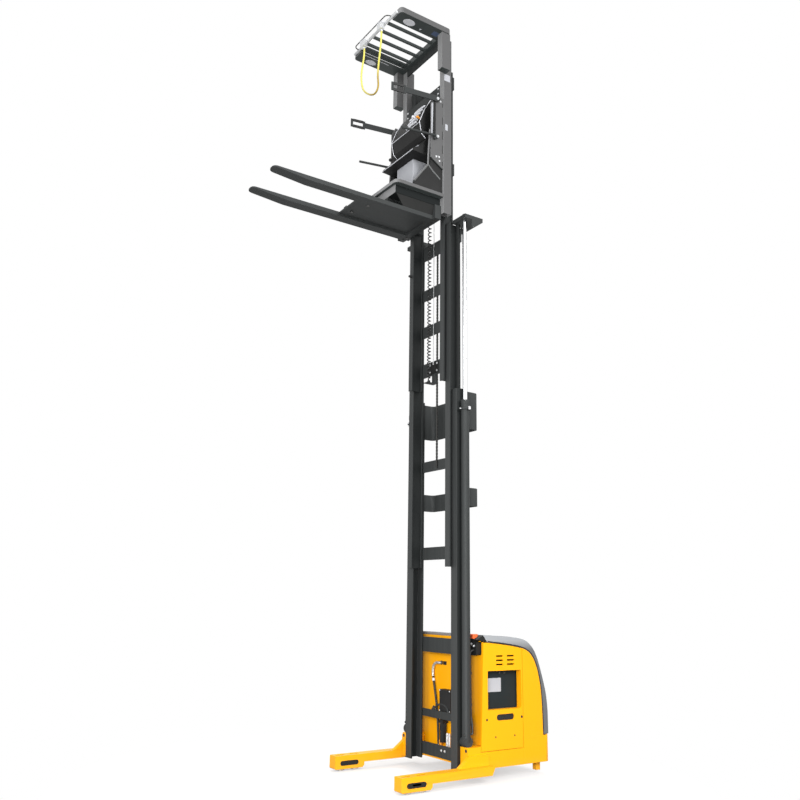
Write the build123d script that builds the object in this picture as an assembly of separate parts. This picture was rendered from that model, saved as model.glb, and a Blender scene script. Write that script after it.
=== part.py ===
"""Order picker truck with its three-stage mast raised part way.

Millimetres. Z = 0 is the floor, Y = 0 the truck's middle, and the forks point towards -X.
While it is modelled, X = 0 lies in the fixed mast; save() moves every piece so that
the middle of the truck's length is at X = 0.
"""
import math
import os

from build123d import *

# Length of the truck, from the fork tips to the rear skirt
FORK_TIP_X = -2350
REAR_X = 1058
ORIGIN_X = (FORK_TIP_X + REAR_X) / 2

# Play left between pieces that slide or turn in each other
SEAT_GAP = 0.3
RUN_GAP = 6

# Load wheels in the tips of the two support arms
LOAD_WHEEL_D = 140
LOAD_WHEEL_W = 82
LOAD_WHEEL_EDGE = 8
LOAD_AXLE_D = 22
LOAD_AXLE_X = (-815, -643)
AXLE_PLATE = 6
AXLE_PLATE_H = 46
AXLE_PLATE_RISE = 10

# Support arms: a wheel pod at the tip and a box section back to the chassis
ARM_TIP_X = -900
POD_END_X = -544
ARM_END_X = 188
ARM_END_SLOPE = 42
ARM_INNER_Y = 558
ARM_OUTER_Y = 680
ARM_TOP_Z = 154
POD_BOTTOM_Z = 22
RUN_BOTTOM_Z = 74
POD_WALL = 14
POD_ROOF = 8
POD_NOSE = 9
NOSE_CHAMFER = 10
HEEL_CHAMFER = 22
WHEEL_WINDOW = (104, 46)

# Gussets on the arms, and the boxes behind them that carry the lift cylinders
GUSSET_TOP_Z = 256
GUSSET_TOE_X = -171
GUSSET_KNEE_X = -32
GUSSET_END_X = 207
GUSSET_FOOT_Z = 94
GUSSET_OUTER_Y = 604
FOOT_BOX_X = -47
FOOT_BOX_TOP_Z = 331
TOE_R = 24

# Chassis
SIDE_Y = 586
SHEET = 12
BASE_Z = 120
BASE_THICK = 30
FRONT_WALL_X = 167
DOOR_FRONT_X = (124, 160)
DOOR_REAR_X = 684
DOOR_BOTTOM_Z = 284
DOOR_GAP = 5
HINGE_INSET = 6
HINGE_PIN_D = 6
HINGE_PIN_LONG = 14
WINDOW_X = (214, 666)
WINDOW_Z = (672, 1052)
WINDOW_R = 8
REVEAL_DEEP = 60
REVEAL_WALL = 6
HANDLE_X = (329, 566)
HANDLE_Z = (565, 625)
VENT_X = ((328, 423), (474, 575))
VENT_Z = (1113, 1155, 1197)
VENT_HIGH = 16
HOOD_OUT = ((156, 1409), (454, 1396), (696, 1368), (793, 1320), (881, 1220), (954, 1023), (1034, 744), (1037, 396))
HOOD_IN = ((962, 392), (959, 655), (934, 936), (861, 1157), (746, 1264), (487, 1310), (210, 1338))
CORNER_CUTS = 2
LIP_GAP = 3
SCOOP_TIP = (77, 1363)
SCOOP_W = 60
SKIRT_X = 694
SKIRT_TOP_Z = (361, 389)
SKIRT_CORNER_R = 60
FOOT_X = (922, 980)
FOOT_Y = (455, 510)
FOOT_Z = 30

# Battery and drive unit
BATTERY_X = (196, 580)
BATTERY_Y = 500
BATTERY_TOP_Z = 1100
BATTERY_STEP = (672, 440)
DRIVE_X = 810
DRIVE_WHEEL_D = 310
DRIVE_WHEEL_W = 110
DRIVE_WHEEL_EDGE = 14
DRIVE_AXLE_D = 60
DRIVE_SIDE_GAP = 8
DRIVE_CHEEK = 26
DRIVE_CHEEK_W = 130
DRIVE_CROWN = 30
DRIVE_WELL_GAP = 22
STEER_RING_D = 240
STEER_RING_H = 22
BRIDGE_THICK = 20
BRIDGE_W = 300
BRIDGE_LEG = 18
MOTOR_D = 220
MOTOR_H = 340
MOTOR_CHAMFER = 14

# Mast rails, as plan sections on the +Y side
RAIL_THICK = 18
OUTER_X = (-85, 65)
OUTER_Y = (354, 460)
OUTER_Z = (94, 4040)
MIDDLE_X = (-133, 17)
MIDDLE_Y = (312, 398)
MIDDLE_WEB_Y = (330, 346)
MIDDLE_Z = (2101, 6042)
INNER_X = (-181, -31)
INNER_Y = (272, 347)
INNER_WEB_Y = (288, 304)
INNER_BACK_Y = 322
INNER_Z = (4143, 8095)

# Crossmembers behind the rails: (bottom, top)
OUTER_PLATES_Z = ((138, 265), (524, 602), (1197, 1356))
OUTER_PLATE_THICK = 10
BRACES_Z = ((2756, 2950), (3607, 4026))
BRACE_X = 250
BRACE_Y = 430
BRACE_THICK = 16
BRACE_R = 60
MIDDLE_PLATES_Z = ((2190, 2330), (3190, 3310), (5830, 5990))
MIDDLE_PLATE_THICK = 22
INNER_PLATES_Z = ((4306, 4472), (4801, 4937), (5270, 5403), (5792, 5963), (6700, 6850), (7860, 8030))
INNER_PLATE_THICK = 20

# Guide rollers between the stages
ROLLER_W = 38
ROLLER_AXLE_D = 40
ROLLER_RISE = (75, 640)
CARRIAGE_ROLLER_Z = (6215, 6880)

# Lift cylinders, one outboard of each outer rail
CYLINDER_X = -5
CYLINDER_Y = 507
BARREL_D = 89
BARREL_BORE = 70
BARREL_TOP_Z = 3900
BARREL_FLOOR = 40
EYE_D = 104
EYE_SEAT = 6
EYE_Y = (462, 546)
GLAND_D = 93
GLAND_H = 50
ROD_D = 50
ROD_BOTTOM_Z = 2500
CLAMP_Z = 3790
CLAMP_H = 18
CLAMP_D = 124
HEAD_THICK = 48
HEAD_X = (-60, 200)
HEAD_OUTER_Y = 592
HEAD_BACK_W = 60
HEAD_INNER_X = 0
HEAD_GUSSET_X = 40
HEAD_GUSSET_H = 100

# Chain and supply cord in the mast's middle
CHAIN_Y = 38
CHAIN_W = 26
CHAIN_THICK = 12
CHAIN_PITCH = 38
CHAIN_WAIST = 16
CHAIN_BOTTOM_Z = 3215
CORD_X = -100
CORD_Y = 50
CORD_D = 46
CORD_Z = (4226, 7266)
CORD_SHELF_Z = 4190
CORD_SHELF_THICK = 10
CORD_SHELF_W = 70
CORD_GLAND_D = 34

# Cab back: posts, carriage and plates
POST_X = (-256, -144)
POST_Y = (357, 442)
POST_WALL = 8
POST_BOTTOM_Z = 6100
POST_HEAD_X = (-352, -231)
POST_HEAD_OUTER_Y = 532
POST_HEAD_DROP = 561
CARRIAGE_Z = (6130, 6960)
CARRIAGE_PLATE = 20
CARRIAGE_CHEEK_Y = (240, 262)
CARRIAGE_BACK_X = -60
CAB_PLATES_Z = ((7300, 7430), (7680, 7812))
CAB_TOP_PLATE_H = 78
SIDE_PLATE_X = -435
SIDE_PLATE_Y = (421, 433)
SIDE_PLATE_Z = (6650, 7580)
SIDE_PLATE_SLOPE = 110

# Platform and forks
FLOOR_TIP_X = -916
FLOOR_Y = 442
FLOOR_TOP_Z = 6339
FLOOR_RIM_H = 40
FLOOR_SHEET = 8
FLOOR_CORNER_R = 60
FLOOR_BOX_X = -880
FLOOR_BOX_Y = 373
FLOOR_BOX_Z = 6204
FORK_Y = (208, 340)
FORK_Z = (6035, 6085)
FORK_TIP_LONG = 420
FORK_TIP_THICK = 14
FORK_TIP_R = 50
HEEL_X = -340
HEEL_Y = 390
FORK_FRAME_X = -1270
FORK_FRAME_THICK = 22
FORK_BEAM_W = 60
CLASP_Y = ((53, 107), (-190, -130))
CLASP_LONG = 150
CLASP_THICK = 12

# Overhead guard
GUARD_X = (-953, -222)
GUARD_Y = 540
GUARD_TOP_Z = 8486
GUARD_H = 71
GUARD_SHEET = 8
GUARD_SIDE_W = 186
GUARD_BACK_W = 88
GUARD_CORNER_R = 45
SLAT_Y = (-251, -91, 62, 214)
SLAT_W = 24
SLAT_H = 34
FRONT_TUBE_D = 34
FRONT_TUBE_Y = 480
HOOP_D = 13
HOOP_REACH = 59
HOOP_X = GUARD_X[0] - FRONT_TUBE_D - HOOP_REACH
HOOP_Y = 373
HOOP_DROP = 46
HOOP_R = 55
HOLDER_Y = ((-238, -156), (156, 238))
HOLDER_LONG = 81

# Lanyard between the two holders, hanging in front of the guard: (X, Y, Z)
LANYARD_D = 22
LANYARD = (
    (-1002, -195, 8352.5), (-1002, -195, 8240), (-1000, -172, 8100), (-1000, -146, 7960), (-1000, -131, 7834),
    (-1000, -132, 7740), (-1000, -150, 7655), (-1000, -135, 7590), (-1000, -75, 7562), (-1000, 0, 7590),
    (-1000, 70, 7638), (-1000, 140, 7697), (-1000, 205, 7775), (-1000, 242, 7870), (-1000, 260, 7980),
    (-1000, 245, 8090), (-1001, 215, 8180), (-1002, 197, 8262), (-1002, 197, 8352.5))

# Side gates: an upper bar and a lower rod on pins in the side plates, tied by a link
GATE_PIVOT_X = -360
GATE_BAR_Z = 7535
GATE_ROD_Z = 7036
GATE_SAG = 0.12
GATE_BAR_THICK = 11
GATE_BAR_HIGH = 70
GATE_TIP_X = -1013
GATE_GRIP_X = -812
GATE_GRIP_HIGH = 106
GATE_GRIP_WALL = 28
GATE_ROD_D = 28
GATE_ROD_TIP_X = -868
LINK_THICK = 6
LINK_ARM = (34, 28)
LINK_W = 30
LINK_PLAY = 1
PIN_D = 16

# Console on the mast side of the platform
COLUMN_X = -508
COLUMN_Y = 170
DESK = (
    (-256, 6832), (-508, 6832), (-623, 6840), (-612, 6875), (-509, 6929), (-420, 7060), (-330, 7222), (-256, 7240))
DESK_Y = 330
CONSOLE_TOP = (
    (-256, 7242), (-332, 7226), (-420, 7068), (-470, 7110), (-507, 7265), (-440, 7440), (-349, 7600), (-300, 7548),
    (-256, 7420))
CONSOLE_TOP_Y = 300
LINING_Y = (376, 412)
LINING = ((-256, 6339), (-640, 6339), (-654, 6396), (-430, 6690), (-413, 7007), (-300, 7290), (-256, 7290))
CONSOLE_WALL = 6

# Fittings on the front wall
FITTING_BOX = ((90, 167), (-110, 82), (598, 823))
FILTER_X = 122
FILTER_Y = 54
FILTER_D = 70
FILTER_Z = (286, 480)
FILTER_HEAD = 66
HOSE_D = 24
HOSE = (
    (166.7, 142, 1088), (139, 142, 1088), (141, 215, 1085), (143, 266, 1050), (143, 274, 984), (143, 270, 936),
    (143, 195, 637), (143, 167, 340), (143, 165, 150.3))
BEACON_X = (97, 156)
BEACON_Y = (-500, -430)
BEACON_BOTTOM_Z = 1369
BEACON_H = 48
BEACON_BOX_Y = (-545, -430)
BEACON_BOX_Z = 1206
BEACON_BOX_R = 24


def block(x, y, z):
    """A box between two values along each axis."""
    middle = ((x[0] + x[1]) / 2, (y[0] + y[1]) / 2, (z[0] + z[1]) / 2)
    return Pos(*middle) * Box(x[1] - x[0], y[1] - y[0], z[1] - z[0])


def side_shape(points, y):
    """A side outline of (X, Z) points, as thick as the span y."""
    return Pos(0, y[1], 0) * extrude(Plane.XZ * make_face(Polyline(*points, close=True)), amount=y[1] - y[0])


def plan_shape(points, z):
    """A plan outline of (X, Y) points, as high as the span z."""
    return Pos(0, 0, z[0]) * extrude(make_face(Polyline(*points, close=True)), amount=z[1] - z[0])


def round_bar(start, end, diameter):
    """A straight round bar between two points."""
    path = Vector(*end) - Vector(*start)
    return extrude(Plane(origin=Vector(*start), z_dir=path) * Circle(diameter / 2), amount=path.length)


def disc_y(x, y, z, diameter):
    """A disc whose axis lies along Y, across the span y."""
    return round_bar((x, y[0], z), (x, y[1], z), diameter)


def upright(x, y, z, diameter):
    """A round upright across the span z."""
    return round_bar((x, y, z[0]), (x, y, z[1]), diameter)


def slot(x, y, z):
    """A slot with round ends in a side sheet, long along X."""
    radius = (z[1] - z[0]) / 2
    ends = [disc_y(end_x, y, z[0] + radius, 2 * radius) for end_x in (x[0] + radius, x[1] - radius)]
    return joined([block((x[0] + radius, x[1] - radius), y, z), *ends])


def rear_rounded(shape, radius):
    """The shape with its upright edges at the rear rounded."""
    return fillet(shape.edges().filter_by(Axis.Z).group_by(Axis.X)[-1], radius)


def front_rounded(shape, radius):
    """The shape with its upright edges at the front rounded."""
    return fillet(shape.edges().filter_by(Axis.Z).group_by(Axis.X)[0], radius)


def mirrored(shape):
    """The same shape on the other side of the truck."""
    return mirror(shape, about=Plane.XZ)


def joined(shapes):
    """Touching shapes as one solid."""
    first, *rest = shapes
    return first.fuse(*rest).clean() if rest else first


def height_on(points, x):
    """The height at x of a line of (X, Z) points."""
    for (x0, z0), (x1, z1) in zip(points, points[1:]):
        if min(x0, x1) <= x <= max(x0, x1):
            return z0 + (z1 - z0) * (x - x0) / (x1 - x0)


def eased(points):
    """The same line with its corners cut back, and the corners of that line again."""
    for _ in range(CORNER_CUTS):
        line = [points[0]]
        for (x0, z0), (x1, z1) in zip(points, points[1:]):
            line.append((0.75 * x0 + 0.25 * x1, 0.75 * z0 + 0.25 * z1))
            line.append((0.25 * x0 + 0.75 * x1, 0.25 * z0 + 0.75 * z1))
        points = (*line, points[-1])
    return points


def cord_tube(points, diameter):
    """A round cord along points, with each corner's arc as large as its two runs allow."""
    corners = [Vector(*point) for point in points]
    radii = []
    for before, corner, after in zip(corners, corners[1:], corners[2:]):
        turn = (corner - before).get_angle(after - corner)
        shorter = min((corner - before).length, (after - corner).length)
        radii.append(0.45 * shorter / math.tan(math.radians(turn / 2)))
    path = FilletPolyline(*corners, radius=radii)
    start = Plane(origin=corners[0], z_dir=corners[1] - corners[0])
    tube = sweep(start * Circle(diameter / 2), path=path)
    print(f"cord of {path.length:.0f} mm, radii {min(radii):.0f} to {max(radii):.0f} mm")
    return tube


def save(node, *shapes):
    """Writes a node's solids, moved so that the truck's length is centred on X = 0."""
    solids = [solid for shape in shapes for solid in shape.solids()]
    piece = Compound(children=solids) if len(solids) > 1 else solids[0]
    export_step(Pos(-ORIGIN_X, 0, 0) * piece, f"parts/{node}.step")


def save_pair(node, shape):
    """Writes a shape and its mirror image as one node."""
    save(node, shape, mirrored(shape))


os.makedirs("parts", exist_ok=True)

# Support arms, each a wheel pod with a slot for two wheels and a box section behind it
arm = side_shape(
    ((ARM_TIP_X, ARM_TOP_Z), (ARM_TIP_X, POD_BOTTOM_Z + NOSE_CHAMFER), (ARM_TIP_X + NOSE_CHAMFER, POD_BOTTOM_Z),
     (POD_END_X - HEEL_CHAMFER, POD_BOTTOM_Z), (POD_END_X, POD_BOTTOM_Z + HEEL_CHAMFER), (POD_END_X, RUN_BOTTOM_Z),
     (ARM_END_X, RUN_BOTTOM_Z),
     (ARM_END_X + ARM_END_SLOPE, ARM_TOP_Z)), (ARM_INNER_Y, ARM_OUTER_Y))
wheel_slot_x = (ARM_TIP_X + POD_NOSE, LOAD_AXLE_X[1] + LOAD_WHEEL_D / 2 + POD_NOSE)
arm -= block(wheel_slot_x, (ARM_INNER_Y + POD_WALL, ARM_OUTER_Y - POD_WALL), (0, ARM_TOP_Z - POD_ROOF))
wheel_y = (ARM_INNER_Y + ARM_OUTER_Y) / 2
axle_z = LOAD_WHEEL_D / 2
for axle_x in LOAD_AXLE_X:
    window_x = (axle_x - WHEEL_WINDOW[0] / 2, axle_x + WHEEL_WINDOW[0] / 2)
    arm -= block(window_x, (wheel_y - WHEEL_WINDOW[1] / 2, wheel_y + WHEEL_WINDOW[1] / 2), (axle_z, ARM_TOP_Z + 1))
    arm -= disc_y(axle_x, (ARM_INNER_Y - 1, ARM_OUTER_Y + 1), axle_z, LOAD_AXLE_D)
save_pair("support_arms", arm)

axle_y = (ARM_INNER_Y - AXLE_PLATE, ARM_OUTER_Y + AXLE_PLATE)
plate_mid_z = axle_z + AXLE_PLATE_RISE
plate_z = (plate_mid_z - AXLE_PLATE_H / 2, plate_mid_z + AXLE_PLATE_H / 2)
axles = [disc_y(axle_x, axle_y, axle_z, LOAD_AXLE_D) for axle_x in LOAD_AXLE_X]
for plate_y in ((axle_y[0], ARM_INNER_Y), (ARM_OUTER_Y, axle_y[1])):
    axles.append(slot((LOAD_AXLE_X[0] - AXLE_PLATE_H / 2, LOAD_AXLE_X[1] + AXLE_PLATE_H / 2), plate_y, plate_z))
save_pair("load_axles", joined(axles))

for side_name, side in (("left", 1), ("right", -1)):
    across = (side * wheel_y - LOAD_WHEEL_W / 2, side * wheel_y + LOAD_WHEEL_W / 2)
    for place, axle_x in zip(("front", "rear"), LOAD_AXLE_X):
        wheel = disc_y(axle_x, across, axle_z, LOAD_WHEEL_D)
        wheel = fillet(wheel.edges().filter_by(GeomType.CIRCLE), LOAD_WHEEL_EDGE)
        wheel -= disc_y(axle_x, (across[0] - 1, across[1] + 1), axle_z, LOAD_AXLE_D + 2 * SEAT_GAP)
        save(f"load_wheel_{side_name}_{place}", wheel)

# Gussets on the arms, each with a box behind it that ties the rail's foot to the arm
sheet_y = (SIDE_Y - SHEET, SIDE_Y)
gusset = side_shape(
    ((GUSSET_TOE_X, ARM_TOP_Z), (GUSSET_KNEE_X, GUSSET_TOP_Z), (GUSSET_END_X, GUSSET_TOP_Z),
     (GUSSET_END_X, ARM_TOP_Z)), (ARM_INNER_Y, GUSSET_OUTER_Y))
foot_box = block((FOOT_BOX_X, FRONT_WALL_X), (OUTER_Y[1], sheet_y[0]), (ARM_TOP_Z, FOOT_BOX_TOP_Z))
foot_tie = block((FOOT_BOX_X, FRONT_WALL_X), (OUTER_Y[1], ARM_INNER_Y), (GUSSET_FOOT_Z, ARM_TOP_Z))
save_pair("foot_gussets", joined([gusset, foot_box, foot_tie]))

# Chassis tray with a well for the drive wheel, and the bridge that carries the drive unit
tray_z = (BASE_Z, BASE_Z + BASE_THICK)
plate_back_x = OUTER_X[1] + OUTER_PLATE_THICK
arm_back_x = ARM_END_X + ARM_END_SLOPE + DOOR_GAP
well_r = math.hypot(DRIVE_WHEEL_D, DRIVE_WHEEL_W + 2 * DRIVE_CHEEK + 2 * DRIVE_SIDE_GAP) / 2 + DRIVE_WELL_GAP
crown_z = DRIVE_WHEEL_D + DRIVE_SIDE_GAP
ring_z = (crown_z + DRIVE_CROWN, crown_z + DRIVE_CROWN + STEER_RING_H)
bridge_z = (ring_z[1], ring_z[1] + BRIDGE_THICK)
tray = joined([
    rear_rounded(block((arm_back_x, REAR_X - SHEET), (-sheet_y[0], sheet_y[0]), tray_z), SKIRT_CORNER_R - SHEET),
    block((GUSSET_END_X, arm_back_x), (-ARM_INNER_Y, ARM_INNER_Y), tray_z),
    block((plate_back_x, GUSSET_END_X), (-OUTER_Y[1], OUTER_Y[1]), tray_z)])
tray -= upright(DRIVE_X, 0, (0, BASE_Z + 2 * BASE_THICK), 2 * well_r)
bridge_x = (DRIVE_X - well_r - RUN_GAP - BRIDGE_LEG, DRIVE_X + well_r + RUN_GAP + BRIDGE_LEG)
bridge = [block(bridge_x, (-BRIDGE_W / 2, BRIDGE_W / 2), bridge_z)]
for leg_x in ((bridge_x[0], bridge_x[0] + BRIDGE_LEG), (bridge_x[1] - BRIDGE_LEG, bridge_x[1])):
    bridge.append(block(leg_x, (-BRIDGE_W / 2, BRIDGE_W / 2), (tray_z[1], bridge_z[0])))
save("chassis_tray", joined([tray, *bridge]))

# Drive unit: the steered fork under the bridge, its wheel, and the motor above
cheek_y = DRIVE_WHEEL_W / 2 + DRIVE_SIDE_GAP
drive_z = DRIVE_WHEEL_D / 2
cheek_x = (DRIVE_X - DRIVE_CHEEK_W / 2, DRIVE_X + DRIVE_CHEEK_W / 2)
fork = [upright(DRIVE_X, 0, (ring_z[0], ring_z[1] - SEAT_GAP), STEER_RING_D)]
fork.append(block(cheek_x, (-cheek_y - DRIVE_CHEEK, cheek_y + DRIVE_CHEEK), (crown_z, ring_z[0])))
for cheek in ((-cheek_y - DRIVE_CHEEK, -cheek_y), (cheek_y, cheek_y + DRIVE_CHEEK)):
    fork.append(block(cheek_x, cheek, (drive_z, crown_z)))
    fork.append(disc_y(DRIVE_X, cheek, drive_z, DRIVE_CHEEK_W))
fork.append(disc_y(DRIVE_X, (-cheek_y, cheek_y), drive_z, DRIVE_AXLE_D))
save("drive_fork", joined(fork))

drive_wheel = disc_y(DRIVE_X, (-DRIVE_WHEEL_W / 2, DRIVE_WHEEL_W / 2), drive_z, DRIVE_WHEEL_D)
drive_wheel = fillet(drive_wheel.edges().filter_by(GeomType.CIRCLE), DRIVE_WHEEL_EDGE)
drive_wheel -= disc_y(DRIVE_X, (-DRIVE_WHEEL_W, DRIVE_WHEEL_W), drive_z, DRIVE_AXLE_D + 2 * SEAT_GAP)
save("drive_wheel", drive_wheel)

motor = upright(DRIVE_X, 0, (bridge_z[1], bridge_z[1] + MOTOR_H), MOTOR_D)
save("drive_motor", chamfer(motor.edges().filter_by(GeomType.CIRCLE).sort_by(Axis.Z)[-1], MOTOR_CHAMFER))
battery_y = (-BATTERY_Y, BATTERY_Y)
save("battery", joined([
    block(BATTERY_X, battery_y, (tray_z[1], BATTERY_TOP_Z)),
    block((BATTERY_X[1], BATTERY_STEP[0]), battery_y, (BATTERY_STEP[1], BATTERY_TOP_Z))]))

# Side frames: the fixed side sheets behind and below the battery doors
hood_in = eased(HOOD_IN)
hood_out = eased(HOOD_OUT)
hood_line = tuple(reversed(hood_in))
frame_x = DOOR_REAR_X + DOOR_GAP
frame_top = [point for point in hood_line if point[0] > frame_x]
sill_z = DOOR_BOTTOM_Z - DOOR_GAP
skirt_line = ((SKIRT_X, SKIRT_TOP_Z[0]), (REAR_X, SKIRT_TOP_Z[1]))
hood_back_x = HOOD_IN[0][0]
toe_x = DOOR_FRONT_X[0] - DOOR_GAP
frame = side_shape(
    ((FOOT_BOX_X, GUSSET_TOP_Z), (GUSSET_END_X, GUSSET_TOP_Z), (GUSSET_END_X, ARM_TOP_Z),
     (arm_back_x, ARM_TOP_Z), (arm_back_x, BASE_Z), (SKIRT_X, BASE_Z), skirt_line[0],
     (hood_back_x, height_on(skirt_line, hood_back_x)), *reversed(frame_top),
     (frame_x, height_on(hood_line, frame_x)), (frame_x, sill_z), (toe_x, sill_z), (toe_x, FOOT_BOX_TOP_Z),
     (FOOT_BOX_X + TOE_R, FOOT_BOX_TOP_Z), (FOOT_BOX_X, FOOT_BOX_TOP_Z - TOE_R)), sheet_y)
hinge = (DOOR_REAR_X - HINGE_INSET, SIDE_Y - SHEET / 2)
low_pin_z = (sill_z, DOOR_BOTTOM_Z + HINGE_PIN_LONG)
save_pair("side_frames", joined([frame, upright(*hinge, low_pin_z, HINGE_PIN_D)]))

# Battery doors, each with a deep window, vents and a grip slot
door_top = [(x, z - DOOR_GAP) for x, z in hood_line if x < DOOR_REAR_X]
door = side_shape(
    ((DOOR_FRONT_X[0], DOOR_BOTTOM_Z), (DOOR_FRONT_X[1], door_top[0][1]), *door_top,
     (DOOR_REAR_X, height_on(hood_line, DOOR_REAR_X) - DOOR_GAP), (DOOR_REAR_X, DOOR_BOTTOM_Z)), sheet_y)
reveal = block((WINDOW_X[0] - REVEAL_WALL, WINDOW_X[1] + REVEAL_WALL), (sheet_y[0] - REVEAL_DEEP, sheet_y[0]),
               (WINDOW_Z[0] - REVEAL_WALL, WINDOW_Z[1] + REVEAL_WALL))
reveal = fillet(reveal.edges().filter_by(Axis.Y), WINDOW_R + REVEAL_WALL)
opening = block(WINDOW_X, (sheet_y[0] - REVEAL_DEEP - 1, SIDE_Y + 1), WINDOW_Z)
door = joined([door, reveal]) - fillet(opening.edges().filter_by(Axis.Y), WINDOW_R)
door -= slot(HANDLE_X, (sheet_y[0] - 1, SIDE_Y + 1), HANDLE_Z)
for vent_x in VENT_X:
    for vent_z in VENT_Z:
        door -= slot(vent_x, (sheet_y[0] - 1, SIDE_Y + 1), (vent_z - VENT_HIGH / 2, vent_z + VENT_HIGH / 2))
hood_low_z = height_on(hood_line, hinge[0])
top_pin_z = (hood_low_z - DOOR_GAP - HINGE_PIN_LONG, hood_low_z)
for pin_hole_z in ((low_pin_z[0], low_pin_z[1] + SEAT_GAP), (top_pin_z[0] - SEAT_GAP, top_pin_z[1])):
    door -= upright(*hinge, pin_hole_z, HINGE_PIN_D + 2 * SEAT_GAP)
save("battery_door_left", door)
save("battery_door_right", mirrored(door))

# Front wall between the doors, and the hood over the battery and drive
front_x = (FRONT_WALL_X, FRONT_WALL_X + SHEET)
wall_y = sheet_y[0] - DOOR_GAP
lip_z = height_on((HOOD_OUT[0], HOOD_IN[-1]), front_x[1])
scoop_y = SIDE_Y - SCOOP_W - LIP_GAP
front_wall = joined([
    block(front_x, (-scoop_y, scoop_y), (HOOD_IN[-1][1], lip_z - LIP_GAP)),
    block(front_x, (-wall_y, wall_y), (FOOT_BOX_TOP_Z, HOOD_IN[-1][1])),
    block(front_x, (-OUTER_Y[1], OUTER_Y[1]), (tray_z[1], FOOT_BOX_TOP_Z))])
save("front_wall", front_wall)
hood = side_shape((*hood_out, *hood_in), (-SIDE_Y, SIDE_Y))
inside = make_face(Polyline(*hood_out, (HOOD_OUT[-1][0], 0), (HOOD_IN[-1][0], 0), HOOD_IN[-1], close=True))
inside = Plane.XZ * offset(inside, -SHEET, kind=Kind.INTERSECTION)
hood -= Pos(0, sheet_y[0], 0) * extrude(inside, amount=2 * sheet_y[0])
top_pin = upright(*hinge, (top_pin_z[0], top_pin_z[1] + SHEET / 2), HINGE_PIN_D)
save("hood", joined([hood, top_pin, mirrored(top_pin)]))
save_pair("hood_scoops", side_shape((SCOOP_TIP, HOOD_OUT[0], HOOD_IN[-1]), (SIDE_Y - SCOOP_W, SIDE_Y)))

# Rear skirt round the chassis, and the two feet below it
skirt = side_shape(((SKIRT_X, BASE_Z), skirt_line[0], skirt_line[1], (REAR_X, BASE_Z)), (-SIDE_Y, SIDE_Y))
skirt_hollow = block((SKIRT_X - 1, REAR_X - SHEET), (-sheet_y[0], sheet_y[0]), (0, 2 * SKIRT_TOP_Z[1]))
save("rear_skirt", rear_rounded(skirt, SKIRT_CORNER_R) - rear_rounded(skirt_hollow, SKIRT_CORNER_R - SHEET))
save_pair("rear_feet", block(FOOT_X, FOOT_Y, (FOOT_Z, BASE_Z)))

# Fixed mast: two channels, plates across their backs and two braces that bow rearwards
rail = RAIL_THICK
outer_rail = plan_shape(
    ((OUTER_X[0], OUTER_Y[0]), (OUTER_X[0] + rail, OUTER_Y[0]), (OUTER_X[0] + rail, OUTER_Y[1] - rail),
     (OUTER_X[1] - rail, OUTER_Y[1] - rail), (OUTER_X[1] - rail, OUTER_Y[0]), (OUTER_X[1], OUTER_Y[0]),
     (OUTER_X[1], OUTER_Y[1]), (OUTER_X[0], OUTER_Y[1])), OUTER_Z)
save_pair("outer_rails", outer_rail)
outer_plates = [block((OUTER_X[1], plate_back_x), (-OUTER_Y[1], OUTER_Y[1]), span) for span in OUTER_PLATES_Z]
braces = []
for span in BRACES_Z:
    brace = block((OUTER_X[1] - BRACE_X, BRACE_X), (-BRACE_Y, BRACE_Y), span)
    brace = rear_rounded(brace, BRACE_R)
    hollow = block((OUTER_X[1] - BRACE_X, BRACE_X - BRACE_THICK), (BRACE_THICK - BRACE_Y, BRACE_Y - BRACE_THICK), span)
    brace -= rear_rounded(hollow, BRACE_R - BRACE_THICK)
    braces.append(brace - block((OUTER_X[1] - BRACE_X, OUTER_X[1]), (-BRACE_Y, BRACE_Y), span))
save("outer_crossmembers", *outer_plates, *braces)

# Middle mast: two I rails that run in the channels, with rollers at their lower ends
middle_rail = plan_shape(
    ((MIDDLE_X[0], MIDDLE_Y[0]), (MIDDLE_X[0] + rail, MIDDLE_Y[0]), (MIDDLE_X[0] + rail, MIDDLE_WEB_Y[0]),
     (MIDDLE_X[1] - rail, MIDDLE_WEB_Y[0]), (MIDDLE_X[1] - rail, MIDDLE_Y[0]), (MIDDLE_X[1], MIDDLE_Y[0]),
     (MIDDLE_X[1], MIDDLE_Y[1]), (MIDDLE_X[1] - rail, MIDDLE_Y[1]), (MIDDLE_X[1] - rail, MIDDLE_WEB_Y[1]),
     (MIDDLE_X[0] + rail, MIDDLE_WEB_Y[1]), (MIDDLE_X[0] + rail, MIDDLE_Y[1]), (MIDDLE_X[0], MIDDLE_Y[1])), MIDDLE_Z)
roller_d = OUTER_X[1] - OUTER_X[0] - 2 * rail - 2 * SEAT_GAP
outer_mid_x = (OUTER_X[0] + OUTER_X[1]) / 2
outer_roller_y = (OUTER_Y[1] - rail - SEAT_GAP - ROLLER_W, OUTER_Y[1] - rail - SEAT_GAP)
middle_parts = [middle_rail]
for rise in ROLLER_RISE:
    roller_z = MIDDLE_Z[0] + rise
    middle_parts.append(disc_y(outer_mid_x, (MIDDLE_WEB_Y[1], outer_roller_y[0]), roller_z, ROLLER_AXLE_D))
    middle_parts.append(disc_y(outer_mid_x, outer_roller_y, roller_z, roller_d))
save_pair("middle_rails", joined(middle_parts))
middle_plate_x = (MIDDLE_X[1], MIDDLE_X[1] + MIDDLE_PLATE_THICK)
middle_plates = [block(middle_plate_x, (-MIDDLE_Y[1], MIDDLE_Y[1]), span) for span in MIDDLE_PLATES_Z]
save("middle_crossmembers", *middle_plates)

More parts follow.
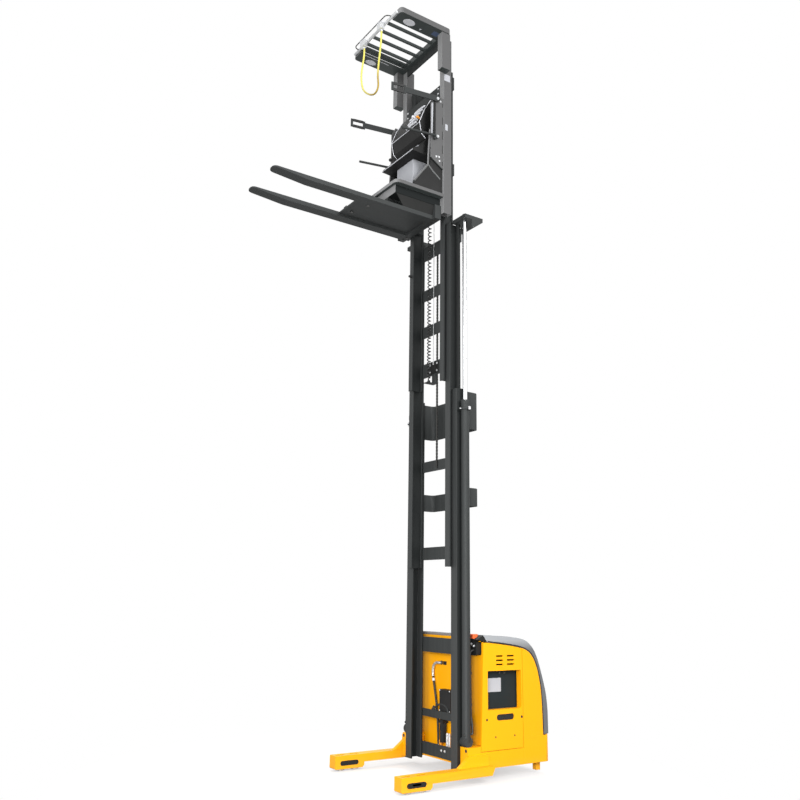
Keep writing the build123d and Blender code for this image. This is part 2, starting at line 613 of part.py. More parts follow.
# Head over the middle mast that the two lift rods push up
head_z = (MIDDLE_Z[1], MIDDLE_Z[1] + HEAD_THICK)
head_plan = (
    (HEAD_X[1] - HEAD_BACK_W, MIDDLE_WEB_Y[0]), (HEAD_INNER_X, MIDDLE_WEB_Y[0]), (HEAD_INNER_X, INNER_Y[1] + RUN_GAP),
    (HEAD_X[0], INNER_Y[1] + RUN_GAP), (HEAD_X[0], HEAD_OUTER_Y), (HEAD_X[1], HEAD_OUTER_Y))
other_side = [(x, -y) for x, y in reversed(head_plan)]
head_gusset = side_shape(
    ((HEAD_GUSSET_X, head_z[0]), (HEAD_X[1], head_z[0]), (HEAD_GUSSET_X, head_z[0] - HEAD_GUSSET_H)),
    (HEAD_OUTER_Y - rail, HEAD_OUTER_Y))
save("mast_head", joined([plan_shape((*head_plan, *other_side), head_z), head_gusset, mirrored(head_gusset)]))

# Lift cylinders: barrels with an eye on the foot boxes, and the rods under the head
eye_z = FOOT_BOX_TOP_Z + EYE_D / 2 - EYE_SEAT
barrel_z = (eye_z, BARREL_TOP_Z)
barrel = [upright(CYLINDER_X, CYLINDER_Y, barrel_z, BARREL_D)]
barrel.append(upright(CYLINDER_X, CYLINDER_Y, (BARREL_TOP_Z - GLAND_H, BARREL_TOP_Z), GLAND_D))
barrel.append(upright(CYLINDER_X, CYLINDER_Y, (CLAMP_Z, CLAMP_Z + CLAMP_H), CLAMP_D))
barrel.append(block((CYLINDER_X - ROD_D / 2, CYLINDER_X + ROD_D / 2), (OUTER_Y[1], CYLINDER_Y),
                    (CLAMP_Z, CLAMP_Z + CLAMP_H)))
barrel.append(disc_y(CYLINDER_X, EYE_Y, eye_z, EYE_D))
barrel = joined(barrel) - block((OUTER_X[0], OUTER_X[1]), OUTER_Y, barrel_z)
barrel -= block((CYLINDER_X - EYE_D, CYLINDER_X + EYE_D), (OUTER_Y[1], sheet_y[0]), (0, FOOT_BOX_TOP_Z))
barrel -= upright(CYLINDER_X, CYLINDER_Y, (eye_z + EYE_D / 2 + BARREL_FLOOR, BARREL_TOP_Z - GLAND_H), BARREL_BORE)
barrel -= upright(CYLINDER_X, CYLINDER_Y, (BARREL_TOP_Z - 2 * GLAND_H, BARREL_TOP_Z + 1), ROD_D + 2 * SEAT_GAP)
save_pair("lift_barrels", barrel)
save_pair("lift_rods", upright(CYLINDER_X, CYLINDER_Y, (ROD_BOTTOM_Z, head_z[0]), ROD_D))

# Lift chain on the middle mast, narrowed between the pins of its links
chain_x = (middle_plate_x[0] - CHAIN_THICK, middle_plate_x[0])
links = round((MIDDLE_PLATES_Z[-1][1] - CHAIN_BOTTOM_Z) / CHAIN_PITCH)
chain_edge = []
for link in range(links):
    link_z = CHAIN_BOTTOM_Z + link * CHAIN_PITCH
    chain_edge.append((CHAIN_Y + CHAIN_W / 2, link_z))
    chain_edge.append((CHAIN_Y + CHAIN_W / 2, link_z + CHAIN_PITCH / 2))
    chain_edge.append((CHAIN_Y + CHAIN_WAIST / 2, link_z + 0.75 * CHAIN_PITCH))
chain_back = [(2 * CHAIN_Y - y, z) for y, z in reversed(chain_edge)]
chain = make_face(Plane.YZ * Polyline(*chain_edge, *chain_back, close=True))
save("lift_chain", Pos(chain_x[0], 0, 0) * extrude(chain, amount=CHAIN_THICK, dir=(1, 0, 0)))

# Inner mast: two rails inside the middle one, with rollers at their lower ends
inner_rail = plan_shape(
    ((INNER_X[0], INNER_Y[0]), (INNER_X[0] + rail, INNER_Y[0]), (INNER_X[0] + rail, INNER_WEB_Y[0]),
     (INNER_X[1] - rail, INNER_WEB_Y[0]), (INNER_X[1] - rail, INNER_Y[0]), (INNER_X[1], INNER_Y[0]),
     (INNER_X[1], INNER_BACK_Y), (INNER_X[1] - rail, INNER_BACK_Y), (INNER_X[1] - rail, INNER_WEB_Y[1]),
     (INNER_X[0] + rail, INNER_WEB_Y[1]), (INNER_X[0] + rail, INNER_Y[1]), (INNER_X[0], INNER_Y[1])), INNER_Z)
middle_mid_x = (MIDDLE_X[0] + MIDDLE_X[1]) / 2
roller_z = INNER_Z[0] + ROLLER_RISE[0]
notch_z = (INNER_Z[0] - 1, roller_z + roller_d / 2 + RUN_GAP)
inner_rail -= block((INNER_X[1] - rail, INNER_X[1] + 1), (INNER_WEB_Y[1], INNER_BACK_Y + 1), notch_z)
inner_roller = disc_y(middle_mid_x, (INNER_WEB_Y[1], MIDDLE_WEB_Y[0] - SEAT_GAP), roller_z, roller_d)
save_pair("inner_rails", joined([inner_rail, inner_roller]))
inner_plate_x = (INNER_X[1], INNER_X[1] + INNER_PLATE_THICK)
inner_plates = [block(inner_plate_x, (-INNER_BACK_Y, INNER_BACK_Y), span) for span in INNER_PLATES_Z]
shelf_y = (CORD_Y - CORD_SHELF_W / 2, CORD_Y + CORD_SHELF_W / 2)
shelf_z = (CORD_SHELF_Z, CORD_SHELF_Z + CORD_SHELF_THICK)
shelf = block((CORD_X - CORD_D, inner_plate_x[0]), shelf_y, shelf_z)
shelf_web = block(inner_plate_x, shelf_y, (shelf_z[0], INNER_PLATES_Z[0][0]))
gland_low = upright(CORD_X, CORD_Y, (shelf_z[1], CORD_Z[0]), CORD_GLAND_D)
save("inner_crossmembers", joined([inner_plates[0], shelf_web, shelf, gland_low]), *inner_plates[1:])

# Curly supply cord from the inner mast's shelf up to the cab's lowest crossplate
save("supply_cord", upright(CORD_X, CORD_Y, CORD_Z, CORD_D))

# Carriage that climbs the inner rails and carries the whole cab
carriage_x = (POST_X[0], POST_X[0] + CARRIAGE_PLATE)
inner_mid_x = (INNER_X[0] + INNER_X[1]) / 2
carriage_roller_y = (CARRIAGE_CHEEK_Y[1], INNER_WEB_Y[0] - SEAT_GAP)
cheek = [block((carriage_x[1], CARRIAGE_BACK_X), CARRIAGE_CHEEK_Y, CARRIAGE_Z)]
for roller_z in CARRIAGE_ROLLER_Z:
    cheek.append(disc_y(inner_mid_x, carriage_roller_y, roller_z, roller_d))
cheek = joined(cheek)
carriage_plate = block(carriage_x, (-POST_Y[0], POST_Y[0]), CARRIAGE_Z)
save("carriage", joined([carriage_plate, cheek, mirrored(cheek)]))

# Cab posts and the plates between them and beside them
guard_z = (GUARD_TOP_Z - GUARD_H, GUARD_TOP_Z)
post_z = (POST_BOTTOM_Z, guard_z[0])
post_head = block(POST_HEAD_X, (POST_Y[1], POST_HEAD_OUTER_Y), (GUARD_TOP_Z - POST_HEAD_DROP, post_z[1]))
post_bore_x = (POST_X[0] + POST_WALL, POST_X[1] - POST_WALL)
post_bore_y = (POST_Y[0] + POST_WALL, POST_Y[1] - POST_WALL)
post = block(POST_X, POST_Y, post_z) - block(post_bore_x, post_bore_y, (post_z[0] - 1, post_z[1] + 1))
save_pair("cab_posts", joined([post, post_head]))
crossplates_z = (*CAB_PLATES_Z, (guard_z[0] - CAB_TOP_PLATE_H, guard_z[0]))
cab_plates = [block(carriage_x, (-POST_Y[0], POST_Y[0]), span) for span in crossplates_z]
cord_bracket_z = (CAB_PLATES_Z[0][0], CAB_PLATES_Z[0][0] + CORD_SHELF_THICK)
cord_bracket = block((carriage_x[1], CORD_X + CORD_SHELF_W / 2), shelf_y, cord_bracket_z)
cord_gland = upright(CORD_X, CORD_Y, (CORD_Z[1], cord_bracket_z[0]), CORD_GLAND_D)
save("cab_crossplates", joined([cab_plates[0], cord_bracket, cord_gland]), *cab_plates[1:])
side_plate = side_shape(
    ((POST_X[0], SIDE_PLATE_Z[0]), (SIDE_PLATE_X, SIDE_PLATE_Z[0] + SIDE_PLATE_SLOPE),
     (SIDE_PLATE_X, SIDE_PLATE_Z[1] - SIDE_PLATE_SLOPE), (SIDE_PLATE_X + SIDE_PLATE_SLOPE / 2, SIDE_PLATE_Z[1]),
     (POST_X[0], SIDE_PLATE_Z[1])), SIDE_PLATE_Y)
link_y = (SIDE_PLATE_Y[1] + RUN_GAP, SIDE_PLATE_Y[1] + RUN_GAP + LINK_THICK)
bar_y = (link_y[1] + RUN_GAP, link_y[1] + RUN_GAP + GATE_BAR_THICK)
for pin_z in (GATE_BAR_Z, GATE_ROD_Z):
    side_plate = joined([side_plate, disc_y(GATE_PIVOT_X, (SIDE_PLATE_Y[1], bar_y[1]), pin_z, PIN_D)])
save_pair("side_plates", side_plate)

# Platform: a rimmed floor on a shallow box
floor_z = (FLOOR_TOP_Z - FLOOR_RIM_H, FLOOR_TOP_Z)
floor = block((FLOOR_TIP_X, POST_X[0]), (-FLOOR_Y, FLOOR_Y), floor_z)
floor = front_rounded(floor, FLOOR_CORNER_R)
floor_box = block((FLOOR_BOX_X, POST_X[0]), (-FLOOR_BOX_Y, FLOOR_BOX_Y), (FLOOR_BOX_Z, floor_z[0]))
floor_hollow = block((FLOOR_BOX_X + FLOOR_SHEET, POST_X[0] - FLOOR_SHEET),
                     (FLOOR_SHEET - FLOOR_BOX_Y, FLOOR_BOX_Y - FLOOR_SHEET),
                     (FLOOR_BOX_Z + FLOOR_SHEET, floor_z[1] - FLOOR_SHEET))
save("platform", joined([floor, floor_box]) - floor_hollow)

# Forks with their heel block, and the frame between them
fork_outline = (
    (FORK_TIP_X, FORK_Z[1]), (FORK_TIP_X, FORK_Z[1] - FORK_TIP_THICK), (FORK_TIP_X + FORK_TIP_LONG, FORK_Z[0]),
    (HEEL_X, FORK_Z[0]), (HEEL_X, FORK_Z[1]))
fork = side_shape(fork_outline, FORK_Y)
fork = front_rounded(fork, FORK_TIP_R)
heel = block((HEEL_X, POST_X[0]), (-HEEL_Y, HEEL_Y), (FORK_Z[0], FLOOR_BOX_Z))
save("forks", joined([heel, fork, mirrored(fork)]))
frame_z = (FORK_Z[1] - FORK_FRAME_THICK, FORK_Z[1])
fork_frame = [block((FORK_FRAME_X, HEEL_X), (-FORK_Y[0], FORK_Y[0]), frame_z)]
beam_z = (frame_z[1], FLOOR_BOX_Z)
for beam_y in ((-FORK_Y[0], FORK_BEAM_W - FORK_Y[0]), (FORK_Y[0] - FORK_BEAM_W, FORK_Y[0])):
    fork_frame.append(block((FLOOR_BOX_X, HEEL_X), beam_y, beam_z))
clasp_z = (frame_z[1], frame_z[1] + CLASP_THICK)
for clasp_y in CLASP_Y:
    fork_frame.append(block((FORK_FRAME_X, FORK_FRAME_X + CLASP_LONG), clasp_y, clasp_z))
save("fork_frame", joined(fork_frame))

# Overhead guard: a folded sheet frame open at the front, slats, and a front tube and hoop
guard = block(GUARD_X, (-GUARD_Y, GUARD_Y), guard_z)
guard = fillet(guard.edges().filter_by(Axis.Z), GUARD_CORNER_R)
inside_y = GUARD_Y - GUARD_SIDE_W
back_x = GUARD_X[1] - GUARD_BACK_W
flange_top_z = guard_z[0] + GUARD_SHEET
guard -= block((GUARD_X[0] - 1, back_x), (-inside_y, inside_y), (guard_z[0] - 1, guard_z[1] + 1))
guard -= block((GUARD_X[0] + GUARD_CORNER_R, back_x), (GUARD_SHEET - GUARD_Y, GUARD_Y - GUARD_SHEET),
               (flange_top_z, guard_z[1] + 1))
save("guard_frame", guard)
tube_x = GUARD_X[0] - FRONT_TUBE_D / 2
slat_z = (flange_top_z, flange_top_z + SLAT_H)
slat_mid_z = (slat_z[0] + slat_z[1]) / 2
slats = [round_bar((tube_x, -FRONT_TUBE_Y, slat_mid_z), (tube_x, FRONT_TUBE_Y, slat_mid_z), FRONT_TUBE_D)]
for slat_y in SLAT_Y:
    slats.append(block((tube_x, back_x), (slat_y - SLAT_W / 2, slat_y + SLAT_W / 2), slat_z))
save("guard_slats", joined(slats))
hoop_z = GUARD_TOP_Z - HOOP_DROP
hoop_end_x = GUARD_X[0] - FRONT_TUBE_D - SEAT_GAP
hoop_path = FilletPolyline(
    (hoop_end_x, -HOOP_Y, hoop_z), (HOOP_X, -HOOP_Y, hoop_z), (HOOP_X, HOOP_Y, hoop_z), (hoop_end_x, HOOP_Y, hoop_z),
    radius=HOOP_R)
hoop = sweep(Plane(origin=(hoop_end_x, -HOOP_Y, hoop_z), z_dir=(-1, 0, 0)) * Circle(HOOP_D / 2), path=hoop_path)
save("guard_hoop", hoop)
holder_x = (HOOP_X, tube_x - FRONT_TUBE_D / 2)
holder_z = (hoop_z - HOOP_D / 2 - HOLDER_LONG, hoop_z - HOOP_D / 2)
holders = [block(holder_x, holder_y, holder_z) for holder_y in HOLDER_Y]
save("lanyard_holders", *holders)
save("lanyard", cord_tube(LANYARD, LANYARD_D))

# Gates: on each side a flat upper bar with a grip loop, a round lower rod, and the link
def sagging(x, high):
    """The side outline of a gate's bar between two X values, which falls away from its pin."""
    upper = [(end_x, GATE_BAR_Z - GATE_SAG * (GATE_PIVOT_X - end_x) + high / 2) for end_x in x]
    return (*upper, *[(end_x, end_z - high) for end_x, end_z in reversed(upper)])


rod_y = bar_y[0] + GATE_ROD_D / 2
rod_tip_z = GATE_ROD_Z - GATE_SAG * (GATE_PIVOT_X - GATE_ROD_TIP_X)
link_x = GATE_PIVOT_X - LINK_ARM[0]
bar_pin_z = GATE_BAR_Z - LINK_ARM[1]
rod_pin_z = GATE_ROD_Z - LINK_ARM[1]
bar = joined([
    side_shape(sagging((GATE_GRIP_X, GATE_PIVOT_X), GATE_BAR_HIGH), bar_y),
    side_shape(sagging((GATE_TIP_X, GATE_GRIP_X), GATE_GRIP_HIGH), bar_y),
    disc_y(GATE_PIVOT_X, bar_y, GATE_BAR_Z, GATE_BAR_HIGH), disc_y(link_x, bar_y, bar_pin_z, LINK_W)])
grip_x = (GATE_TIP_X + GATE_GRIP_WALL, GATE_GRIP_X - GATE_GRIP_WALL)
bar -= side_shape(sagging(grip_x, GATE_GRIP_HIGH - 2 * GATE_GRIP_WALL), (bar_y[0] - 1, bar_y[1] + 1))
bar -= disc_y(GATE_PIVOT_X, (bar_y[0] - 1, bar_y[1] + 1), GATE_BAR_Z, PIN_D + 2 * SEAT_GAP)
bar = joined([bar, disc_y(link_x, (link_y[0], bar_y[0]), bar_pin_z, PIN_D)])
rod = joined([
    round_bar((GATE_ROD_TIP_X, rod_y, rod_tip_z), (link_x, rod_y, GATE_ROD_Z), GATE_ROD_D),
    block((link_x, GATE_PIVOT_X), bar_y, (rod_pin_z, GATE_ROD_Z + GATE_ROD_D / 2)),
    disc_y(GATE_PIVOT_X, bar_y, GATE_ROD_Z, LINK_W), disc_y(link_x, bar_y, rod_pin_z, LINK_W)])
rod -= disc_y(GATE_PIVOT_X, (bar_y[0] - 1, bar_y[1] + 1), GATE_ROD_Z, PIN_D + 2 * SEAT_GAP)
rod = joined([rod, disc_y(link_x, (link_y[0], bar_y[0]), rod_pin_z, PIN_D)])
link = joined([
    block((link_x - LINK_W / 2, link_x + LINK_W / 2), link_y, (rod_pin_z, bar_pin_z)),
    disc_y(link_x, link_y, rod_pin_z, LINK_W), disc_y(link_x, link_y, bar_pin_z, LINK_W)])
link -= disc_y(link_x, (link_y[0] - 1, link_y[1] + 1), bar_pin_z, PIN_D + 2 * SEAT_GAP)
link -= disc_y(link_x, (link_y[0] - 1, link_y[1] + 1), rod_pin_z, PIN_D + 2 * LINK_PLAY)
for node, shape in (("gate_bar", bar), ("gate_rod", rod), ("gate_link", link)):
    save(f"{node}_left", shape)
    save(f"{node}_right", mirrored(shape))

# Console: a column, a desk that leans towards the mast, a hood above it, and side linings
def shell(points, half_w):
    """A hollow housing with a side outline of (X, Z) points."""
    inside = Plane.XZ * offset(make_face(Polyline(*points, close=True)), -CONSOLE_WALL, kind=Kind.INTERSECTION)
    inner_y = half_w - CONSOLE_WALL
    return side_shape(points, (-half_w, half_w)) - Pos(0, inner_y, 0) * extrude(inside, amount=2 * inner_y)


column = block((COLUMN_X, carriage_x[0]), (-COLUMN_Y, COLUMN_Y), (FLOOR_TOP_Z, DESK[0][1]))
column -= block((COLUMN_X + CONSOLE_WALL, carriage_x[0] + 1), (CONSOLE_WALL - COLUMN_Y, COLUMN_Y - CONSOLE_WALL),
                (FLOOR_TOP_Z - 1, DESK[0][1] + 1))
save("console_column", column)
save("console_desk", shell(DESK, DESK_Y))
save("console_hood", shell(CONSOLE_TOP, CONSOLE_TOP_Y))
save_pair("side_linings", side_shape(LINING, LINING_Y))

# Fittings on the front wall: a valve box, a filter, a hose and the beacon on the hood's corner
save("valve_box", block(*FITTING_BOX))
half_head = FILTER_HEAD / 2
filter_head = block((FILTER_X - half_head, FRONT_WALL_X), (FILTER_Y - half_head, FILTER_Y + half_head),
                    (FILTER_Z[1], FILTER_Z[1] + half_head))
save("oil_filter", joined([upright(FILTER_X, FILTER_Y, FILTER_Z, FILTER_D), filter_head]))
save("hydraulic_hose", cord_tube(HOSE, HOSE_D))
beacon_z = (BEACON_BOTTOM_Z, BEACON_BOTTOM_Z + BEACON_H)
save("beacon", block(BEACON_X, BEACON_Y, beacon_z))
bracket_x = (BEACON_X[0], FRONT_WALL_X)
beacon_foot = block(bracket_x, BEACON_Y, (HOOD_IN[-1][1], BEACON_BOTTOM_Z))
beacon_box = block(bracket_x, BEACON_BOX_Y, (BEACON_BOX_Z, HOOD_IN[-1][1]))
beacon_box = fillet(beacon_box.edges().filter_by(Axis.X).group_by(Axis.Z)[0], BEACON_BOX_R)
save("beacon_bracket", joined([beacon_foot, beacon_box]))
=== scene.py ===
"""An order picker truck with its three-stage mast raised part way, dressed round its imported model.

Metres. The floor is Z = 0, the forks point towards -X, and -Y is the side that faces the viewpoint.
"""
import math

import bmesh
import bpy
from mathutils import Matrix, Vector


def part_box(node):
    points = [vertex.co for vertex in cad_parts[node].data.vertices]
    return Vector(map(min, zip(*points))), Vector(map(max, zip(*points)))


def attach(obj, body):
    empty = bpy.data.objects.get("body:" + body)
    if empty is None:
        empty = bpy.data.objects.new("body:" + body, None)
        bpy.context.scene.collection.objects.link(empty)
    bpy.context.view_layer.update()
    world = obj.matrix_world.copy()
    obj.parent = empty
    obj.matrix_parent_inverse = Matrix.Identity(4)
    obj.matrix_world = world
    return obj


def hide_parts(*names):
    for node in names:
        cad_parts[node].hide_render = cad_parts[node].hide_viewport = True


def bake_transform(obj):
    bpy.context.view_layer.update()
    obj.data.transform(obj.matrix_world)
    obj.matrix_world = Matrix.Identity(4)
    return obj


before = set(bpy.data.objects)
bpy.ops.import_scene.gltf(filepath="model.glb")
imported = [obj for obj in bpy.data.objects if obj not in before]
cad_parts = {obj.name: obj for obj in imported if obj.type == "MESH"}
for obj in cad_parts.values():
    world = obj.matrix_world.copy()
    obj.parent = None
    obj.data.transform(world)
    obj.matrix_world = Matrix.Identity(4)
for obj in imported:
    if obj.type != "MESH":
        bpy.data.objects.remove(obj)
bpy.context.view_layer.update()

# The viewpoint: a camera at standing eye level, off the truck's front corner, which is tipped up
# until the overhead guard is in view. Its angles are in radians, its lens and sensor in millimetres.
VIEW_PLACE = (-4.837, -7.479, 1.775)
VIEW_YAW = 0.585
VIEW_PITCH = 0.235
VIEW_ROLL = 0.015
VIEW_LENS = 37.125
VIEW_SENSOR = 36
camera = bpy.data.objects.new("viewpoint", bpy.data.cameras.new("viewpoint"))
camera.data.sensor_width = VIEW_SENSOR
camera.data.lens = VIEW_LENS
camera.matrix_world = (
    Matrix.Translation(VIEW_PLACE) @ Matrix.Rotation(-VIEW_YAW, 4, "Z")
    @ Matrix.Rotation(math.pi / 2 + VIEW_PITCH, 4, "X") @ Matrix.Rotation(VIEW_ROLL, 4, "Z"))
bpy.context.scene.collection.objects.link(camera)
bpy.context.scene.camera = camera


# The studio: a white room whose floor fades into its walls a few metres out and keeps the truck's
# soft shadow. The light that the floor sends up at the truck is dim, so its undersides stay dark.
class Value:
    """A number that changes over a surface. Python's arithmetic on it adds the Math nodes."""

    def __init__(self, owner, socket):
        self.owner = owner
        self.socket = socket

    def maths(self, operation, *terms):
        return self.owner.node("ShaderNodeMath", dict(enumerate(terms)), operation=operation)

    def __add__(self, other):
        return self.maths("ADD", self, other)

    def __sub__(self, other):
        return self.maths("SUBTRACT", self, other)

    def __rsub__(self, other):
        return self.maths("SUBTRACT", other, self)

    def __mul__(self, other):
        return self.maths("MULTIPLY", self, other)

    def __truediv__(self, other):
        return self.maths("DIVIDE", self, other)

    def __gt__(self, other):
        return self.maths("GREATER_THAN", self, other)

    def __lt__(self, other):
        return self.maths("LESS_THAN", self, other)

    __radd__ = __add__
    __rmul__ = __mul__

    def squared(self):
        return self * self

    def clipped(self):
        return self.owner.node("ShaderNodeClamp", {"Value": self})


class Nodes:
    """The shader nodes of the world or of a material, each added by the same method."""

    def __init__(self, tree):
        self.tree = tree

    def node(self, kind, inputs=None, output=0, **settings):
        """A node of any kind: its settings first, then the values or links of its sockets."""
        added = self.tree.nodes.new(kind)
        for name, value in settings.items():
            setattr(added, name, value)
        for name, value in (inputs or {}).items():
            if isinstance(value, Value):
                self.tree.links.new(value.socket, added.inputs[name])
            else:
                added.inputs[name].default_value = value
        return Value(self, added.outputs[output])

    def looked_at(self):
        """1 for rays that the camera sends out, also off or through a piece, and 0 for other light."""
        kinds = ("Camera", "Glossy", "Transmission")
        return sum(self.node("ShaderNodeLightPath", output=f"Is {kind} Ray") for kind in kinds).clipped()


class Finish(Nodes):
    """One material, put together node by node round its Principled shader."""

    def __init__(self, name, slot="", **constants):
        self.slot = slot
        self.material = bpy.data.materials.new(name)
        self.material.use_nodes = True
        super().__init__(self.material.node_tree)
        self.shader = self.tree.nodes["Principled BSDF"]
        for socket, value in constants.items():
            self.shader.inputs[socket.replace("_", " ")].default_value = value

    def place(self, stretch=(1, 1, 1)):
        """Where a point lies on the truck, in metres, stretched along each axis."""
        here = self.node("ShaderNodeTexCoord", output="Object")
        return self.node("ShaderNodeVectorMath", {0: here, 1: stretch}, operation="MULTIPLY")

    def noise(self, scale, stretch=(1, 1, 1), detail=3):
        """Smooth patches from 0 to 1, about 1 / scale metres across."""
        inputs = {"Vector": self.place(stretch), "Scale": scale, "Detail": detail}
        return self.node("ShaderNodeTexNoise", inputs)

    def along(self, axis):
        """How far along X, Y or Z a point lies on the truck at rest, in metres."""
        return self.node("ShaderNodeSeparateXYZ", {"Vector": self.place()}, output=axis)

    def facing(self, axis):
        """1 on a face that looks along X, Y or Z, 0 on one beside it, -1 on one that looks the other way."""
        normal = self.node("ShaderNodeNewGeometry", output="Normal")
        return self.node("ShaderNodeSeparateXYZ", {"Vector": normal}, output=axis)

    def between(self, factor, dark, light):
        """A colour from dark to light, as factor goes from 0 to 1."""
        low, high = (end if isinstance(end, Value) else (*end, 1) for end in (dark, light))
        return self.node("ShaderNodeMix", {"Factor": factor, 6: low, 7: high}, output=2, data_type="RGBA")

    def feed(self, socket, value):
        self.tree.links.new(value.socket, self.shader.inputs[socket])

    def colour(self, scale, dark, light):
        """Patches from dark to light, about 1 / scale metres across."""
        self.feed("Base Color", self.between(self.noise(scale), dark, light))

    def gloss(self, scale, smooth, spread):
        """Patches whose roughness goes from smooth to smooth + spread."""
        self.feed("Roughness", self.noise(scale) * spread + smooth)

    def bumps(self, scale, depth, detail=2):
        """Relief as deep as depth metres, with bumps about 1 / scale metres across."""
        height = self.noise(scale, detail=detail)
        self.feed("Normal", self.node("ShaderNodeBump", {"Height": height, "Distance": depth, "Strength": 1}))


SKY_LIGHT = 0.66
world = bpy.data.worlds.new("studio")
bpy.context.scene.world = world
world.use_nodes = True
sky = world.node_tree.nodes["Background"]
sky.inputs["Color"].default_value = (1, 1, 1, 1)
sky_strength = SKY_LIGHT + (1 - SKY_LIGHT) * Nodes(world.node_tree).looked_at()
world.node_tree.links.new(sky_strength.socket, sky.inputs["Strength"])

FLOOR_HALF = 60
FLOOR_WHITE = (0.95, 0.95, 0.95, 1)
FLOOR_DIM = (0.16, 0.16, 0.16, 1)
FADE_LEAD = 1.6
FADE_SPAN = 4.8
floor_finish = Finish("studio_floor", Base_Color=FLOOR_WHITE, Roughness=0.7, Specular_IOR_Level=0.1)
distance = floor_finish.node("ShaderNodeVectorMath", {0: floor_finish.place()}, output=1, operation="LENGTH")
shown = floor_finish.node("ShaderNodeMixShader", {
    0: ((distance + FADE_LEAD) / FADE_SPAN).clipped(), 1: Value(floor_finish, floor_finish.shader.outputs[0]),
    2: floor_finish.node("ShaderNodeEmission")})
dim = floor_finish.node("ShaderNodeBsdfDiffuse", {"Color": FLOOR_DIM})
floor_look = floor_finish.node("ShaderNodeMixShader", {0: floor_finish.looked_at(), 1: dim, 2: shown})
floor_finish.tree.links.new(floor_look.socket, floor_finish.tree.nodes["Material Output"].inputs["Surface"])
floor_mesh = bpy.data.meshes.new("studio_floor")
floor_mesh.from_pydata([(x * FLOOR_HALF, y * FLOOR_HALF, 0) for x, y in ((-1, -1), (1, -1), (1, 1), (-1, 1))],
                       [], [(0, 1, 2, 3)])
floor_mesh.materials.append(floor_finish.material)
floor = bpy.data.objects.new("studio_floor", floor_mesh)
bpy.context.scene.collection.objects.link(floor)

# The lamps: four soft square panels. One lights the side that faces the viewpoint, one the fork tips,
# a small low one the feet of the mast, and one stands behind the truck. Power is in watts.
LAMPS = (
    dict(name="key", place=(1, -13, 9), aim=(0.6, 0, 3.6), size=6, power=1500),
    dict(name="front", place=(-12, -3, 6), aim=(0.5, 0, 3.5), size=6, power=600),
    dict(name="low_front", place=(-4.5, -5.5, 2.0), aim=(0.6, 0, 1.8), size=2.5, power=460),
    dict(name="back", place=(6, 9, 12), aim=(0.5, 0, 5), size=6, power=900))
for lamp in LAMPS:
    panel_light = bpy.data.objects.new(lamp["name"], bpy.data.lights.new(lamp["name"], "AREA"))
    panel_light.data.size = lamp["size"]
    panel_light.data.energy = lamp["power"]
    panel_light.location = lamp["place"]
    towards = Vector(lamp["aim"]) - Vector(lamp["place"])
    panel_light.rotation_euler = towards.to_track_quat("-Z", "Y").to_euler()
    bpy.context.scene.collection.objects.link(panel_light)


# Yellow pieces: folded and welded steel plate under a glossy powder coat, with the fine orange
# peel that such a coat has, and floor dust on the lowest of it.
def round_edges(piece, width):
    """Rounds the sharp edges of a piece by width metres."""
    bevel = piece.modifiers.new("edge", "BEVEL")
    bevel.width = width
    bevel.segments = 2
    bevel.angle_limit = SHARP_ANGLE
    return bevel


def dress(finish, *nodes, edge=0):
    """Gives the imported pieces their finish, and rounds their sharp edges by edge metres."""
    for name in nodes:
        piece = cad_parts[name]
        piece.data.materials.clear()
        piece.data.materials.append(finish.material)
        if edge:
            weld = piece.modifiers.new("weld", "WELD")
            weld.merge_threshold = 0.00001
            round_edges(piece, edge).harden_normals = True


SHARP_ANGLE = math.radians(40)
DUST_TOP = 0.20
DUST_FADE = 0.25
DUST_COLOUR = (0.42, 0.34, 0.22)
yellow = Finish("yellow_powder_coat", "truck_yellow", Specular_IOR_Level=0.2, Coat_Weight=0.05,
                Coat_Roughness=0.2)
coat = yellow.between(yellow.noise(1.6), (0.93, 0.39, 0.002), (0.97, 0.42, 0.003))
dust = ((DUST_TOP - yellow.along("Z")) / DUST_FADE).clipped() * yellow.noise(9, detail=6) * 0.22
yellow.feed("Base Color", yellow.between(dust, coat, DUST_COLOUR))
yellow.feed("Roughness", yellow.noise(5) * 0.12 + 0.38 + dust)
yellow.bumps(260, 0.0001)
dress(yellow, "support_arms", "foot_gussets", "side_frames", "battery_door_left", "battery_door_right",
      "front_wall", "rear_skirt", "rear_feet", "chassis_tray", edge=0.003)

# The hood: a satin grey moulding over the battery and the drive, with the faint grain of its mould.
# Its top, above the bend, is painted paler as painted light, palest where it faces up; down its back it keeps
# the darker grey.
HOOD_BEND_Z = 1.25
HOOD_BEND_FADE = 0.1
hood_grey = Finish("hood_grey_moulding", "hood_grey", Specular_IOR_Level=0.5)
hood_back = hood_grey.between(hood_grey.noise(2.2), (0.10, 0.102, 0.106), (0.13, 0.132, 0.138))
hood_top_painted_light = ((hood_grey.along("Z") - HOOD_BEND_Z) / HOOD_BEND_FADE).clipped()
hood_grey.feed("Base Color", hood_grey.between(
    hood_top_painted_light * (0.55 + 0.45 * hood_grey.facing("Z").clipped()), hood_back, (0.48, 0.50, 0.52)))
hood_grey.gloss(8, smooth=0.36, spread=0.1)
hood_grey.bumps(420, 0.0001)
dress(hood_grey, "hood", edge=0.008)

# Black pieces of the chassis: steel plate and castings under a satin black paint, with the soft
# texture of a sprayed coat.
black = Finish("satin_black_paint", "chassis_black", Specular_IOR_Level=0.2)
black.colour(3, dark=(0.007, 0.008, 0.008), light=(0.018, 0.018, 0.017))
black.gloss(7, smooth=0.58, spread=0.16)
black.bumps(300, 0.0001)
dress(black, "drive_fork", "drive_motor", "hood_scoops", "beacon_bracket", "load_axles", "gate_link_left",
      "gate_link_right", edge=0.002)
